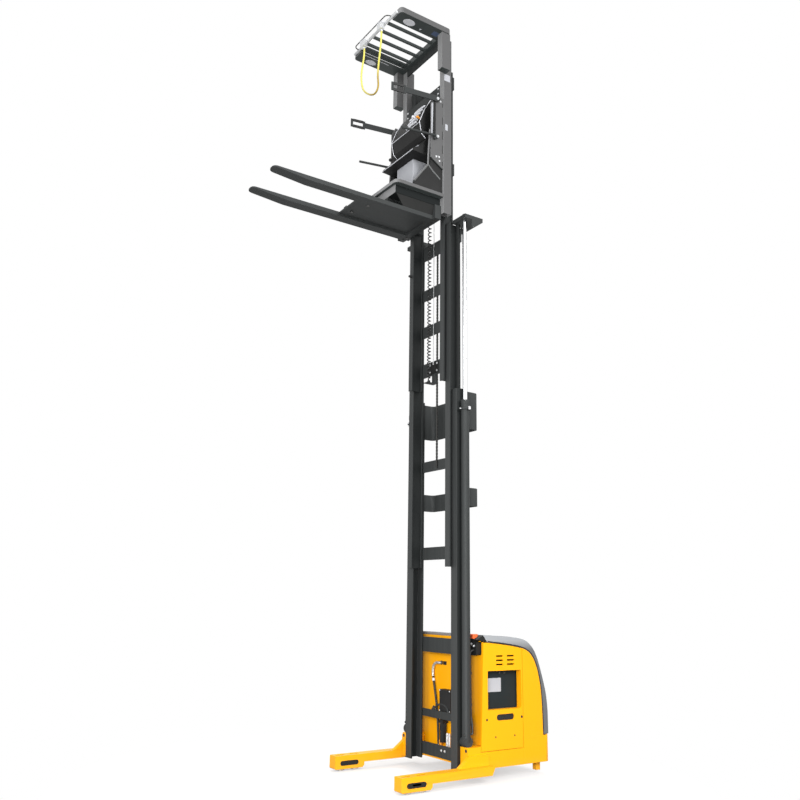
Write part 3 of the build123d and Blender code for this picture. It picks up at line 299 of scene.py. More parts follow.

# The mast: flame-cut plates and tubes in satin charcoal, and hot-rolled rails, all with the long faint
# streaks that grease and rollers leave. Faces that look along Y are painted one flat colour instead:
# on the plates the streaks' middle grey, on the rails' outer webs a much darker painted shade.
STREAK_DARK = (0.028, 0.031, 0.031)
STREAK_LIGHT = (0.056, 0.059, 0.059)
charcoal = Finish("satin_charcoal_paint", "mast_charcoal", Specular_IOR_Level=0.1)
rail_paint_shaded = Finish("charcoal_rail_paint", "mast_charcoal", Specular_IOR_Level=0.2)
# Painted shade: faces that look along Y take the flat web colour, much darker on the rails, whose material is
# a shaded copy of the plates' charcoal.
for paint, web in ((charcoal, (0.042, 0.045, 0.045)), (rail_paint_shaded, (0.014, 0.016, 0.016))):
    streaks = paint.noise(30, stretch=(1, 1, 0.03))
    paint.feed("Base Color", paint.between(
        paint.facing("Y").squared(), paint.between(streaks, STREAK_DARK, STREAK_LIGHT), web))
    paint.feed("Roughness", streaks * 0.22 + 0.38)
    paint.bumps(240, 0.00012)
dress(charcoal, "outer_crossmembers", "middle_crossmembers", "mast_head", "lift_barrels",
      "inner_crossmembers", "carriage", "cab_crossplates", "forks", "fork_frame", "gate_bar_left",
      "gate_bar_right", "gate_rod_left", "gate_rod_right", edge=0.003)
dress(rail_paint_shaded, "outer_rails", "middle_rails", "inner_rails", edge=0.003)

# The cab's frame: grey-painted posts, plates, platform and guard. Painted shade darkens their flanks, the
# inside of the guard and the faces that look down, and a darker painted shade lies under the platform.
# The tube across the front of the guard is a paler grey.
GUARD_BOTTOM_Z = 8.41
GUARD_INSIDE_Y = 0.3571
FRONT_TUBE_X = -0.308
PLATFORM_LIP_Z = 6.298
PLATFORM_BACK_X = 0.385
FLANK_SHADE_GREY = (0.104, 0.104, 0.105)
INSIDE_SHADE_GREY = (0.055, 0.064, 0.063)
UNDER_PLATFORM_SHADE = (0.007, 0.009, 0.009)
TUBE_GREY = (0.62, 0.63, 0.64)
cab_grey = Finish("grey_cab_paint", "cab_grey", Specular_IOR_Level=0.2)
open_face = cab_grey.between(cab_grey.noise(2.5), (0.24, 0.242, 0.245), (0.28, 0.282, 0.285))
# Painted shade: faces that look along Y, faces inside the guard and faces that look down are painted darker,
# and faces under the platform darkest.
flank_shaded = cab_grey.between(cab_grey.facing("Y").squared(), open_face, FLANK_SHADE_GREY)
on_guard = cab_grey.along("Z") > GUARD_BOTTOM_Z
inside_guard = on_guard * (cab_grey.along("Y").squared() < GUARD_INSIDE_Y ** 2)
looks_down = (-2 * cab_grey.facing("Z") - 0.6).clipped()
shaded_inside = cab_grey.between((inside_guard + looks_down).clipped(), flank_shaded, INSIDE_SHADE_GREY)
under_platform = ((cab_grey.along("Z") < PLATFORM_LIP_Z) * (cab_grey.facing("X") > -0.5)
                  * (cab_grey.along("X") < PLATFORM_BACK_X))
shaded = cab_grey.between(under_platform, shaded_inside, UNDER_PLATFORM_SHADE)
cab_grey.feed("Base Color", cab_grey.between(
    (cab_grey.along("X") < FRONT_TUBE_X) * on_guard, shaded, TUBE_GREY))
cab_grey.feed("Roughness", cab_grey.noise(6) * 0.14 + 0.38 + under_platform * 0.35)
cab_grey.bumps(260, 0.0001)
dress(cab_grey, "cab_posts", "side_plates", "platform", "guard_frame", "guard_slats", edge=0.004)

# The lift rods: ground steel under hard chrome, polished by the seals of the barrels along their
# whole stroke.
chrome = Finish("hard_chrome", "rod_chrome", Base_Color=(0.62, 0.63, 0.64, 1), Metallic=1.0)
chrome.feed("Roughness", chrome.noise(60, stretch=(1, 1, 0.02)) * 0.12 + 0.12)
dress(chrome, "lift_rods")

# The lanyard's holders: steel rings and plates with a bright zinc plate, which the truck's bolts
# have too.
zinc = Finish("zinc_plate", "steel_bright", Metallic=0.7)
zinc.colour(40, dark=(0.6, 0.61, 0.62), light=(0.8, 0.81, 0.82))
zinc.gloss(25, smooth=0.3, spread=0.2)
dress(zinc, "lanyard_holders", edge=0.002)

# The lift chain and the guard's hoop: dark steel without paint, kept from rust by a film of oil.
# The same steel serves for pins and small forgings.
oiled = Finish("oiled_steel", "steel_dark", Metallic=0.8)
oiled.colour(50, dark=(0.03, 0.03, 0.03), light=(0.09, 0.09, 0.085))
oiled.gloss(30, smooth=0.3, spread=0.2)
dress(oiled, "lift_chain", "guard_hoop")

# The wheels: cast polyurethane tyres, dark brown on the drive wheel and pale on the four load
# wheels in the pods.
tyre = Finish("polyurethane_tyre", "wheel_rubber", Specular_IOR_Level=0.4)
tyre.colour(14, dark=(0.06, 0.05, 0.04), light=(0.13, 0.11, 0.09))
tyre.gloss(20, smooth=0.55, spread=0.2)
dress(tyre, "drive_wheel")
pale_tyre = Finish("pale_polyurethane_tyre", "load_wheel_tyre", Specular_IOR_Level=0.4)
pale_tyre.colour(18, dark=(0.55, 0.5, 0.42), light=(0.75, 0.71, 0.64))
pale_tyre.gloss(24, smooth=0.5, spread=0.2)
dress(pale_tyre, "load_wheel_left_front", "load_wheel_left_rear", "load_wheel_right_front",
      "load_wheel_right_rear")

# The battery: a welded steel case, dipped in a blue-black coat that stands up to acid. Its rim,
# eyes and cards follow below.
case = Finish("battery_case_coat", "battery_case", Specular_IOR_Level=0.1)
case.colour(4, dark=(0.014, 0.019, 0.021), light=(0.022, 0.028, 0.03))
case.gloss(9, smooth=0.5, spread=0.2)
dress(case, "battery", edge=0.004)

# The console's column: a folded sheet cover in light grey, screwed to the platform.
# The bare cards on the truck have the same grey.
panel = Finish("light_grey_panels", "console_grey", Specular_IOR_Level=0.4)
panel.colour(5, dark=(0.40, 0.41, 0.44), light=(0.46, 0.47, 0.50))
panel.gloss(9, smooth=0.45, spread=0.15)
dress(panel, "console_column", edge=0.006)

# Black mouldings: the console's desk and hood, the cab's side linings, the valve block's cover and
# the oil filter, in grained plastic.
moulding = Finish("black_mouldings", "console_black", Specular_IOR_Level=0.2)
moulding.colour(6, dark=(0.008, 0.008, 0.008), light=(0.02, 0.02, 0.02))
moulding.gloss(9, smooth=0.45, spread=0.15)
moulding.bumps(500, 0.00015)
dress(moulding, "console_desk", "console_hood", "side_linings", "valve_box", "oil_filter", edge=0.004)

# The beacon: an orange plastic lens with a soft shine, pressed onto its bracket in front of the
# hood.
orange = Finish("orange_plastic", "beacon_orange", Specular_IOR_Level=0.5, Coat_Weight=0.2)
orange.colour(20, dark=(0.85, 0.13, 0.03), light=(0.93, 0.17, 0.05))
orange.gloss(20, smooth=0.3, spread=0.1)
dress(orange, "beacon", edge=0.004)


# The lanyard: yellow tubular webbing, sewn round a core, which hangs in a loop between its two holders
# at the front of the overhead guard. Its loop and the lower part of its leg on the -Y side are painted a dark
# amber, as painted shade.
def line_curve(name, points, radius, divisions):
    """A round cord whose smooth line is pulled by the points, with some divisions to a span."""
    data = bpy.data.curves.new(name, "CURVE")
    data.dimensions = "3D"
    data.resolution_u = divisions
    data.bevel_depth = radius
    data.bevel_resolution = 3
    data.use_fill_caps = True
    spline = data.splines.new("NURBS")
    spline.points.add(len(points) - 1)
    for place, point in zip(spline.points, points):
        place.co = (*point, 1)
    spline.order_u = 3
    spline.use_endpoint_u = True
    cord = bpy.data.objects.new(name, data)
    bpy.context.scene.collection.objects.link(cord)
    return cord


LANYARD_DIAMETER = 0.022
LANYARD_ROUTE = (
    (-0.356, -0.195, 8.3525), (-0.356, -0.195, 8.24), (-0.354, -0.172, 8.1), (-0.354, -0.146, 7.96),
    (-0.354, -0.131, 7.834), (-0.354, -0.132, 7.74), (-0.354, -0.15, 7.655), (-0.354, -0.135, 7.59),
    (-0.354, -0.075, 7.562), (-0.354, 0, 7.59), (-0.354, 0.07, 7.638), (-0.354, 0.14, 7.697),
    (-0.354, 0.205, 7.775), (-0.354, 0.242, 7.87), (-0.354, 0.26, 7.98), (-0.354, 0.245, 8.09),
    (-0.355, 0.215, 8.18), (-0.356, 0.197, 8.262), (-0.356, 0.197, 8.3525))
NEAR_LEG_TOP = 8.02
NEAR_LEG_Y = 0.02
LOOP_TOP = 7.80
LANYARD_SHADE_COLOUR = (0.36, 0.22, 0.03)
webbing = Finish("yellow_webbing", "lanyard_webbing", Specular_IOR_Level=0.2, Sheen_Weight=0.3)
# Painted shade: the webbing turns towards a dark amber low on the -Y leg and round the bottom of the loop.
near_leg_shade = ((NEAR_LEG_TOP - webbing.along("Z")) * 3.2).clipped() * (webbing.along("Y") < NEAR_LEG_Y)
low_loop_shade = ((LOOP_TOP - webbing.along("Z")) * 3.5).clipped()
unshaded_yellow = webbing.between(webbing.noise(60), (0.72, 0.64, 0.10), (0.95, 0.90, 0.22))
webbing.feed("Base Color", webbing.between((near_leg_shade + low_loop_shade).clipped() * 0.85, unshaded_yellow, LANYARD_SHADE_COLOUR))
webbing.gloss(60, smooth=0.65, spread=0.2)
webbing.bumps(700, 0.0006, detail=3)
lanyard = line_curve("safety_lanyard", LANYARD_ROUTE, LANYARD_DIAMETER / 2, 12)
lanyard.data.materials.append(webbing.material)
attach(lanyard, "cab")
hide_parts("lanyard")


# The hydraulic hose: smooth black rubber from its elbow on the front wall down to the foot, with a
# zinc-plated sleeve crimped on its lower end, a braided guard below the elbow and a white band.
def smooth_line(route, divisions):
    """The points along the middle of a cord with this route, from its first end to its last."""
    guide = line_curve("guide", route, 0, divisions)
    line = bpy.data.meshes.new_from_object(guide)
    bpy.data.objects.remove(guide)
    return [vertex.co.copy() for vertex in line.vertices]


class Shape:
    """The mesh of a small piece, put together from boxes, round bars, plates and tubes."""

    def __init__(self):
        self.mesh = bmesh.new()

    def box(self, x, y, z, side=1):
        """A box between two values along each axis, mirrored to the right where side is -1."""
        ends = (sorted(x), sorted(side * end for end in y), sorted(z))
        for corner in bmesh.ops.create_cube(self.mesh, size=1)["verts"]:
            corner.co = [ends[axis][place > 0] for axis, place in enumerate(corner.co)]

    def bar(self, start, end, radius, tip=None, sides=20):
        """A round bar between two points, or a cone where tip is its other radius."""
        start, end = Vector(start), Vector(end)
        turned = (end - start).to_track_quat("Z", "Y").to_matrix().to_4x4()
        bmesh.ops.create_cone(
            self.mesh, cap_ends=True, segments=sides, radius1=radius, radius2=radius if tip is None else tip,
            depth=(end - start).length, matrix=Matrix.Translation((start + end) / 2) @ turned)

    def ball(self, centre, radius, squeeze=(1, 1, 1)):
        """A ball, pressed or stretched along each axis."""
        bmesh.ops.create_uvsphere(self.mesh, u_segments=20, v_segments=12, radius=radius,
                                  matrix=Matrix.Translation(centre) @ Matrix.Diagonal((*squeeze, 1)))

    def plate(self, outline, thick):
        """A flat plate: its outline's points, thickened along a vector."""
        face = self.mesh.faces.new([self.mesh.verts.new(point) for point in outline])
        grown = bmesh.ops.extrude_face_region(self.mesh, geom=[face])["geom"]
        far_side = [part for part in grown if isinstance(part, bmesh.types.BMVert)]
        bmesh.ops.translate(self.mesh, vec=thick, verts=far_side)

    def tube(self, line, radius, sides=10):
        """A round tube along a line of points."""
        line = [Vector(point) for point in line]
        turns = [math.tau * side / sides for side in range(sides)]
        across = (line[1] - line[0]).orthogonal().normalized()
        rings = []
        for place, point in enumerate(line):
            along = (line[min(place + 1, len(line) - 1)] - line[max(place - 1, 0)]).normalized()
            across = (across - along * across.dot(along)).normalized()
            beside = along.cross(across)
            ring = [point + radius * (across * math.cos(turn) + beside * math.sin(turn)) for turn in turns]
            rings.append([self.mesh.verts.new(corner) for corner in ring])
        for low, high in zip(rings, rings[1:]):
            for side in range(sides):
                self.mesh.faces.new((low[side - 1], low[side], high[side], high[side - 1]))
        self.mesh.faces.new(rings[0])
        self.mesh.faces.new(rings[-1])

    def bolt(self, place, out, radius):
        """A hexagon head on its washer, which stands out from a face along a unit vector."""
        place, out = Vector(place), Vector(out)
        washer_top = place + out * radius * 0.25
        self.bar(place - out * 0.001, washer_top, radius * 1.35)
        self.bar(washer_top, place + out * radius * 0.9, radius, radius * 0.9, sides=6)

    def made(self, name, finish, body=None, edge=0):
        """The finished piece, smooth between its sharp edges, which are rounded by edge metres."""
        bmesh.ops.recalc_face_normals(self.mesh, faces=self.mesh.faces)
        data = bpy.data.meshes.new(name)
        self.mesh.to_mesh(data)
        self.mesh.free()
        data.shade_smooth()
        data.set_sharp_from_angle(angle=SHARP_ANGLE)
        data.materials.append(finish.material)
        piece = bpy.data.objects.new(name, data)
        bpy.context.scene.collection.objects.link(piece)
        if edge:
            round_edges(piece, edge)
        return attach(piece, body) if body else piece


HOSE_DIAMETER = 0.024
HOSE_DIVISIONS = 16
HOSE_ROUTE = (
    (0.8127, 0.142, 1.088), (0.785, 0.142, 1.088), (0.787, 0.215, 1.085), (0.789, 0.266, 1.05),
    (0.789, 0.274, 0.984), (0.789, 0.27, 0.936), (0.789, 0.195, 0.637), (0.789, 0.167, 0.34),
    (0.789, 0.165, 0.1503))
BRAID_BOTTOM_Z = 0.93
BRAID_RING = 3
SLEEVE_TOP_Z = 0.26
BAND_Z = (0.88, 0.925)
rubber = Finish("smooth_rubber", "hose_rubber", Specular_IOR_Level=0.4)
rubber.colour(30, dark=(0.01, 0.01, 0.01), light=(0.02, 0.02, 0.02))
rubber.gloss(30, smooth=0.4, spread=0.15)
pale = Finish("pale_plastic", "console_grey", Specular_IOR_Level=0.4)
pale.colour(30, dark=(0.70, 0.71, 0.76), light=(0.8, 0.81, 0.85))
pale.gloss(40, smooth=0.4, spread=0.1)
hose = line_curve("lift_hose", HOSE_ROUTE, HOSE_DIAMETER / 2, HOSE_DIVISIONS)
hose.data.materials.append(rubber.material)
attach(hose, "chassis")
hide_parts("hydraulic_hose")
hose_line = smooth_line(HOSE_ROUTE, HOSE_DIVISIONS)
hose_ends = Shape()
braided = [point for point in hose_line if point.z > BRAID_BOTTOM_Z]
for start in range(0, len(braided) - BRAID_RING, BRAID_RING):
    hose_ends.tube(braided[start:start + BRAID_RING], HOSE_DIAMETER / 2 + 0.0025, sides=14)
crimped = [point for point in hose_line if point.z < SLEEVE_TOP_Z]
hose_ends.tube(crimped, HOSE_DIAMETER / 2 + 0.004, sides=14)
hose_band = Shape()
banded = [point for point in hose_line if BAND_Z[0] < point.z < BAND_Z[1]]
hose_band.tube(banded, HOSE_DIAMETER / 2 + 0.003, sides=14)
sleeves = hose_ends.made("lift_hose_sleeves", zinc, "chassis")
band = hose_band.made("lift_hose_band", pale, "chassis")

# The supply cord: a black curly cord that runs up the mast towards the cab. Its own weight pulls its
# turns farther apart near the top.
CURL_BOTTOM = (0.546, 0.05, 4.226)
CURL_TOP = (0.546, 0.05, 7.266)
CURL_TURNS = 64
CURL_STEPS = 12
CURL_STRAND = 0.013
CURL_WIDTH = 0.036
CURL_SAG = 0.2
curl_route = []
for step in range(CURL_TURNS * CURL_STEPS + 1):
    share = step / (CURL_TURNS * CURL_STEPS)
    turn = math.tau * step / CURL_STEPS
    radius = CURL_WIDTH / 2 * min(1, share * CURL_TURNS, (1 - share) * CURL_TURNS)
    rise = share + CURL_SAG * share * (share - 1)
    curl_route.append((CURL_BOTTOM[0] + radius * math.cos(turn), CURL_BOTTOM[1] + radius * math.sin(turn),
                       CURL_BOTTOM[2] + (CURL_TOP[2] - CURL_BOTTOM[2]) * rise))
curl_line = smooth_line(curl_route, 2)
curl = Shape()
curl.tube(curl_line, CURL_STRAND / 2, sides=7)
curly_cord = curl.made("supply_cord_curl", rubber)
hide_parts("supply_cord")
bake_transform(curly_cord)

# The hood's seal: a black rubber lip that fills the gap where the hood meets the yellow sides. It is
# pressed onto the sheets' edge, and clears the doors when they swing.
SIDES = {"right": -1, "left": 1}
SEAL_Y = 0.5845
SEAL_RADIUS = 0.007
HOOD_SEAM = ((1.614, 0.399), (1.611, 0.662), (1.586, 0.943), (1.513, 1.164), (1.398, 1.271), (1.139, 1.317),
             (0.862, 1.345))
seam_line = smooth_line([(x, SEAL_Y, z) for x, z in HOOD_SEAM], 8)
seal = Shape()
for side in SIDES.values():
    seal.tube([(point.x, side * point.y, point.z) for point in seam_line], SEAL_RADIUS, sides=8)
seal.made("hood_seal", rubber, "chassis")

# The battery doors: a ribbed rubber pad behind each hand slot, and four sunk bolts. Each row of
# DOOR_BOLTS is X, Z and radius.
DOOR_FACE_Y = 0.586
GRIP_X = (0.963, 1.224)
GRIP_Y = (0.562, 0.5745)
GRIP_Z = (0.553, 0.637)
GRIP_RIB_X = (0.990, 1.198)
GRIP_RIB_Z = 0.572
DOOR_BOLTS = ((0.845, 0.58, 0.008), (1.313, 0.584, 0.009), (0.958, 0.409, 0.006), (1.213, 0.41, 0.006))
for hand, side in SIDES.items():
    grip = Shape()
    grip.box(GRIP_X, GRIP_Y, GRIP_Z, side)
    for rib in range(5):
        z = GRIP_RIB_Z + rib * 0.010
        grip.box(GRIP_RIB_X, (GRIP_Y[1] - 0.0005, GRIP_Y[1] + 0.0055), (z, z + 0.005), side)
    grip.made(f"door_grip_{hand}", rubber, f"battery_door_{hand}", edge=0.0015)
    sunk = Shape()
    heads = Shape()
    for x, z, radius in DOOR_BOLTS:
        sunk.bar((x, side * (DOOR_FACE_Y - 0.0005), z), (x, side * (DOOR_FACE_Y + 0.0006), z), radius * 1.5)
        heads.bar((x, side * (DOOR_FACE_Y + 0.0002), z), (x, side * (DOOR_FACE_Y + 0.0018), z), radius * 0.8,
                  radius * 0.6, sides=6)
    sunk.made(f"door_bolt_seats_{hand}", black, f"battery_door_{hand}")
    heads.made(f"door_bolts_{hand}", oiled, f"battery_door_{hand}")

# The battery's trim: two lifting eyes and a rolled rim on each side of its steel case, and the bare
# card that shows through the door's window.
CASE_Y = 0.5
RIM_X = (0.842, 1.226)
RIM_Z = (1.075, 1.1)
EYE_X = (1.08, 1.15)
EYE_Z = 1.022
CARD_X = (0.866, 1.106)
CARD_Z = (0.835, 0.972)
rim = Shape()
eyes = Shape()
card = Shape()
for side in SIDES.values():
    rim.box(RIM_X, (CASE_Y, CASE_Y + 0.006), RIM_Z, side)
    for x in EYE_X:
        eyes.bar((x, side * (CASE_Y - 0.001), EYE_Z), (x, side * (CASE_Y + 0.012), EYE_Z), 0.011)
    card.box(CARD_X, (CASE_Y - 0.0005, CASE_Y + 0.0015), CARD_Z, side)
rim.made("battery_rim", case, "chassis", edge=0.002)
eyes.made("battery_lifting_eyes", oiled, "chassis", edge=0.001)
card.made("battery_card", panel, "chassis", edge=0.0006)

# The front wall's black fittings: a square cable hole in its rubber frame, the seams of the valve
# block's lid, and the grip ribs moulded round the filter's can.
TO_FORKS = (-1, 0, 0)
WALL_X = 0.8135
CABLE_FRAME_Y = (0.054, 0.114)
CABLE_FRAME_Z = (1.068, 1.106)
CABLE_HOLE_Y = (0.058, 0.11)
CABLE_HOLE_Z = (1.072, 1.102)
VALVE_X = 0.7365
VALVE_Y = (-0.108, 0.08)
VALVE_LID_Z = (0.786, 0.630)
FILTER = (0.768, 0.054)
FILTER_RIBS = 16
FILTER_RADIUS = 0.035
FILTER_TOP = 0.472
wall_fittings = Shape()
wall_fittings.box((WALL_X - 0.0045, WALL_X), CABLE_FRAME_Y, CABLE_FRAME_Z)
wall_fittings.box((WALL_X - 0.0075, WALL_X - 0.0035), CABLE_HOLE_Y, CABLE_HOLE_Z)
for z in VALVE_LID_Z:
    wall_fittings.box((VALVE_X - 0.002, VALVE_X), VALVE_Y, (z, z + 0.004))
for rib in range(FILTER_RIBS):
    turn = math.tau * rib / FILTER_RIBS
    x = FILTER[0] + FILTER_RADIUS * math.cos(turn)
    y = FILTER[1] + FILTER_RADIUS * math.sin(turn)
    wall_fittings.bar((x, y, FILTER_TOP), (x, y, FILTER_TOP - 0.07), 0.003, sides=6)
wall_fittings.made("front_wall_fittings", moulding, "chassis", edge=0.001)

# The front wall's metal fittings: the hose's flange and nut, two bright pipes with a stack of rings
# each, the screws of the valve block and of the foot, and the filter's clamp ring.
FOOT_TOP = 0.1535
PIPE_X = 0.772
PIPE_Y = (-0.014, -0.052)
PIPE_TOP = 0.385
PIPE_RING_Z = 0.262
VALVE_SCREW_Y = (0.075, -0.1)
VALVE_SCREW_Z = (0.812, 0.608)
FOOT_SCREW_X = 0.711
FOOT_SCREW_Y = (0.01, -0.051)
FOOT_SCREW_Z = 0.2145
flange = Shape()
_, flange_y, flange_z = HOSE_ROUTE[0]
flange.bar((WALL_X, flange_y, flange_z), (WALL_X - 0.0075, flange_y, flange_z), 0.0215)
flange.bar((WALL_X - 0.0065, flange_y, flange_z), (WALL_X - 0.0165, flange_y, flange_z), 0.0175, sides=6)
flange.made("hose_flange", oiled, "chassis", edge=0.001)
bright = Shape()
for y in PIPE_Y:
    bright.bar((PIPE_X, y, FOOT_TOP), (PIPE_X, y, PIPE_TOP), 0.010)
    for ring in range(9):
        z = PIPE_RING_Z + ring * 0.013
        bright.bar((PIPE_X, y, z), (PIPE_X, y, z + 0.008), 0.0155, sides=12)
for z in VALVE_SCREW_Z:
    for y in VALVE_SCREW_Y:
        bright.bolt((VALVE_X - 0.0005, y, z), TO_FORKS, 0.006)
for y in FOOT_SCREW_Y:
    bright.bolt((FOOT_SCREW_X, y, FOOT_SCREW_Z), TO_FORKS, 0.010)
bright.bar((*FILTER, FILTER_TOP + 0.0075), (*FILTER, FILTER_TOP + 0.011), FILTER_RADIUS - 0.0015)
bright.made("front_wall_bright_fittings", zinc, "chassis", edge=0.0008)

# The pipework by the foot: an amber plug that closes the drain, and a painted return pipe that
# arches over the filter, with the small gusset that it is welded to.
PLUG = (0.786, 0.122)
PLUG_NECK_Z = 0.30
ARCH_STEPS = 24
ARCH_FOOT = (0.721, 0.045, 0.575)
ARCH_LEAN = 0.021
ARCH_HALF = 0.135
ARCH_RISE = 0.095
plug = Shape()
plug.bar((*PLUG, FOOT_TOP), (*PLUG, PLUG_NECK_Z), 0.019)
plug.bar((*PLUG, PLUG_NECK_Z), (*PLUG, PLUG_NECK_Z + 0.045), 0.014, 0.011)
amber = Finish("amber_plastic", "beacon_orange", Specular_IOR_Level=0.5)
amber.colour(30, dark=(0.75, 0.27, 0.02), light=(0.85, 0.34, 0.03))
amber.gloss(30, smooth=0.35, spread=0.1)
plug.made("drain_plug", amber, "chassis", edge=0.001)
pipe = Shape()
arch = []
for step in range(ARCH_STEPS + 1):
    turn = math.pi * step / ARCH_STEPS
    bent = (ARCH_LEAN * math.sin(turn), ARCH_HALF * math.cos(turn), ARCH_RISE * math.sin(turn))
    arch.append(Vector(ARCH_FOOT) + Vector(bent))
pipe.tube(arch, 0.0095)
pipe.plate([(0.722, 0.215, 0.600), (0.722, 0.125, 0.600), (0.722, 0.170, 0.648)], (0.008, 0, 0))
pipe.made("return_pipe", charcoal, "chassis", edge=0.001)

# The cylinders: each barrel's foot is fed through an elbow by a pipe that runs up behind it, is
# bled by two screws, and is held at the top by a clamp with an ear for its bolt. A nut ends each rod.
FEED_RADIUS = 0.0085
FEED_END_X = {"right": 0.744, "left": 0.8135}
FEED_LINE = ((0.672, 0.520, 0.445), (0.690, 0.534, 0.448), (0.697, 0.534, 0.465), (0.697, 0.530, 0.52),
             (0.697, 0.515, 0.61), (0.695, 0.507, 1.20), (0.698, 0.507, 1.235), (0.712, 0.507, 1.252),
             (0.735, 0.507, 1.258))
FEED_CLIP_X = (0.672, 0.706)
FEED_CLIP_Y = (0.494, 0.520)
FEED_CLIP_Z = (0.72, 1.02)
FOOT_FRONT_X = 0.600
BLEED_SCREW_Y = 0.525
BLEED_SCREW_Z = (0.40, 0.442)
CLAMP_BAR = ((0.570, 0.712), (0.499, 0.515), (3.793, 3.805))
CLAMP_EAR = ((0.628, 0.654), (0.579, 0.591), (3.782, 3.816))
ROD_X = 0.641
ROD_Y = 0.507
ROD_NUT_Z = 6.089
for hand, side in SIDES.items():
    line = [(x, side * y, z) for x, y, z in (*FEED_LINE, (FEED_END_X[hand], ROD_Y, 1.26))]
    feed = Shape()
    feed.tube(line, FEED_RADIUS)
    for z in FEED_CLIP_Z:
        feed.box(FEED_CLIP_X, FEED_CLIP_Y, (z, z + 0.022), side)
    feed.made(f"barrel_feed_pipe_{hand}", rubber, "chassis", edge=0.001)
    elbow = Shape()
    for low, high in zip(line[1:4], line[2:5]):
        elbow.tube([low, high], FEED_RADIUS + 0.003, sides=8)
    for z in BLEED_SCREW_Z:
        elbow.bolt((FOOT_FRONT_X, side * BLEED_SCREW_Y, z), TO_FORKS, 0.009)
    elbow.made(f"barrel_foot_fittings_{hand}", oiled, "chassis", edge=0.0008)
    ears = Shape()
    ears.box(*CLAMP_BAR, side)
    ears.box(*CLAMP_EAR, side)
    ears.made(f"barrel_clamp_ears_{hand}", zinc, "chassis", edge=0.001)
    nuts = Shape()
    rod = (ROD_X, side * ROD_Y)
    nuts.bar((*rod, ROD_NUT_Z), (*rod, ROD_NUT_Z + 0.015), 0.034)
    nuts.bar((*rod, ROD_NUT_Z + 0.014), (*rod, ROD_NUT_Z + 0.033), 0.026, sides=6)
    nuts.made(f"rod_nuts_{hand}", oiled, "middle_mast", edge=0.001)

# The feet: a drain hole in the front of each foot box, by the toe of its gusset. The hole is drawn
# as a thin black disc on the face, a painted shade for its dark inside.
HOLE_Y = 0.553
HOLE_Z = 0.30
hole_shades = Shape()
for side in SIDES.values():
    hole_shades.bar((FOOT_FRONT_X, side * HOLE_Y, HOLE_Z), (FOOT_FRONT_X - 0.0025, side * HOLE_Y, HOLE_Z), 0.017)
hole_shades.made("foot_box_holes", rubber, "chassis")

# The lift chain's pins: a row of oiled steel pins, one in each joint of the chain, a little longer
# than its plates are wide.
CHAIN_PITCH = 0.038
chain_low, chain_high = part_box("lift_chain")
chain_x = (chain_low.x + chain_high.x) / 2
pins = Shape()
for link in range(int((chain_high.z - chain_low.z) / CHAIN_PITCH)):
    z = chain_low.z + (link + 0.5) * CHAIN_PITCH
    pins.bar((chain_x, chain_low.y - 0.003, z), (chain_x, chain_high.y + 0.003, z), 0.0042, sides=6)
pins.made("chain_pins", oiled, "middle_mast")

# The inner mast's fittings: a bolted bracket on its lowest plate, the thin steel line that guides
# the supply cord above it, a pale clip in the near rail and the rubber cab stop.
BRACKET_PLATE = ((0.604, 0.6155), (-0.045, 0.14), (4.32, 4.455))
BRACKET_BLOCK = ((0.592, 0.605), (-0.02, 0.012), (4.33, 4.445))
BRACKET_BOLT_Y = (0.105, -0.03)
BRACKET_BOLT_Z = (4.43, 4.345)
CLIP = ((0.531, 0.541), (-0.326, -0.298), (5.655, 5.72))
LINE_X = 0.606
LINE_Y = 0.044
LINE_Z = (4.43, 6.225)
STOP_Y = 0.31
STOP_Z = 5.575
bracket = Shape()
bracket.box(*BRACKET_PLATE)
bracket.box(*BRACKET_BLOCK)
bracket.made("cord_bracket", black, "inner_mast", edge=0.002)
studs = Shape()
for y in BRACKET_BOLT_Y:
    for z in BRACKET_BOLT_Z:
        studs.bolt((BRACKET_PLATE[0][0], y, z), TO_FORKS, 0.009)
studs.made("cord_bracket_bolts", zinc, "inner_mast")
guide_line = Shape()
guide_line.bar((LINE_X, LINE_Y, LINE_Z[0]), (LINE_X, LINE_Y, LINE_Z[1]), 0.0045, sides=8)
guide_line.bar((LINE_X, LINE_Y, LINE_Z[0] - 0.005), (LINE_X, LINE_Y, LINE_Z[0] + 0.04), 0.0085, sides=6)
guide_line.made("cord_guide_line", zinc, "inner_mast")
clip = Shape()
clip.box(*CLIP)
clip.made("rail_clip", panel, "inner_mast", edge=0.001)
stop = Shape()
stop.bar((0.470, STOP_Y, STOP_Z), (0.425, STOP_Y, STOP_Z), 0.018, 0.014)
stop.made("cab_stop", rubber, "inner_mast", edge=0.002)

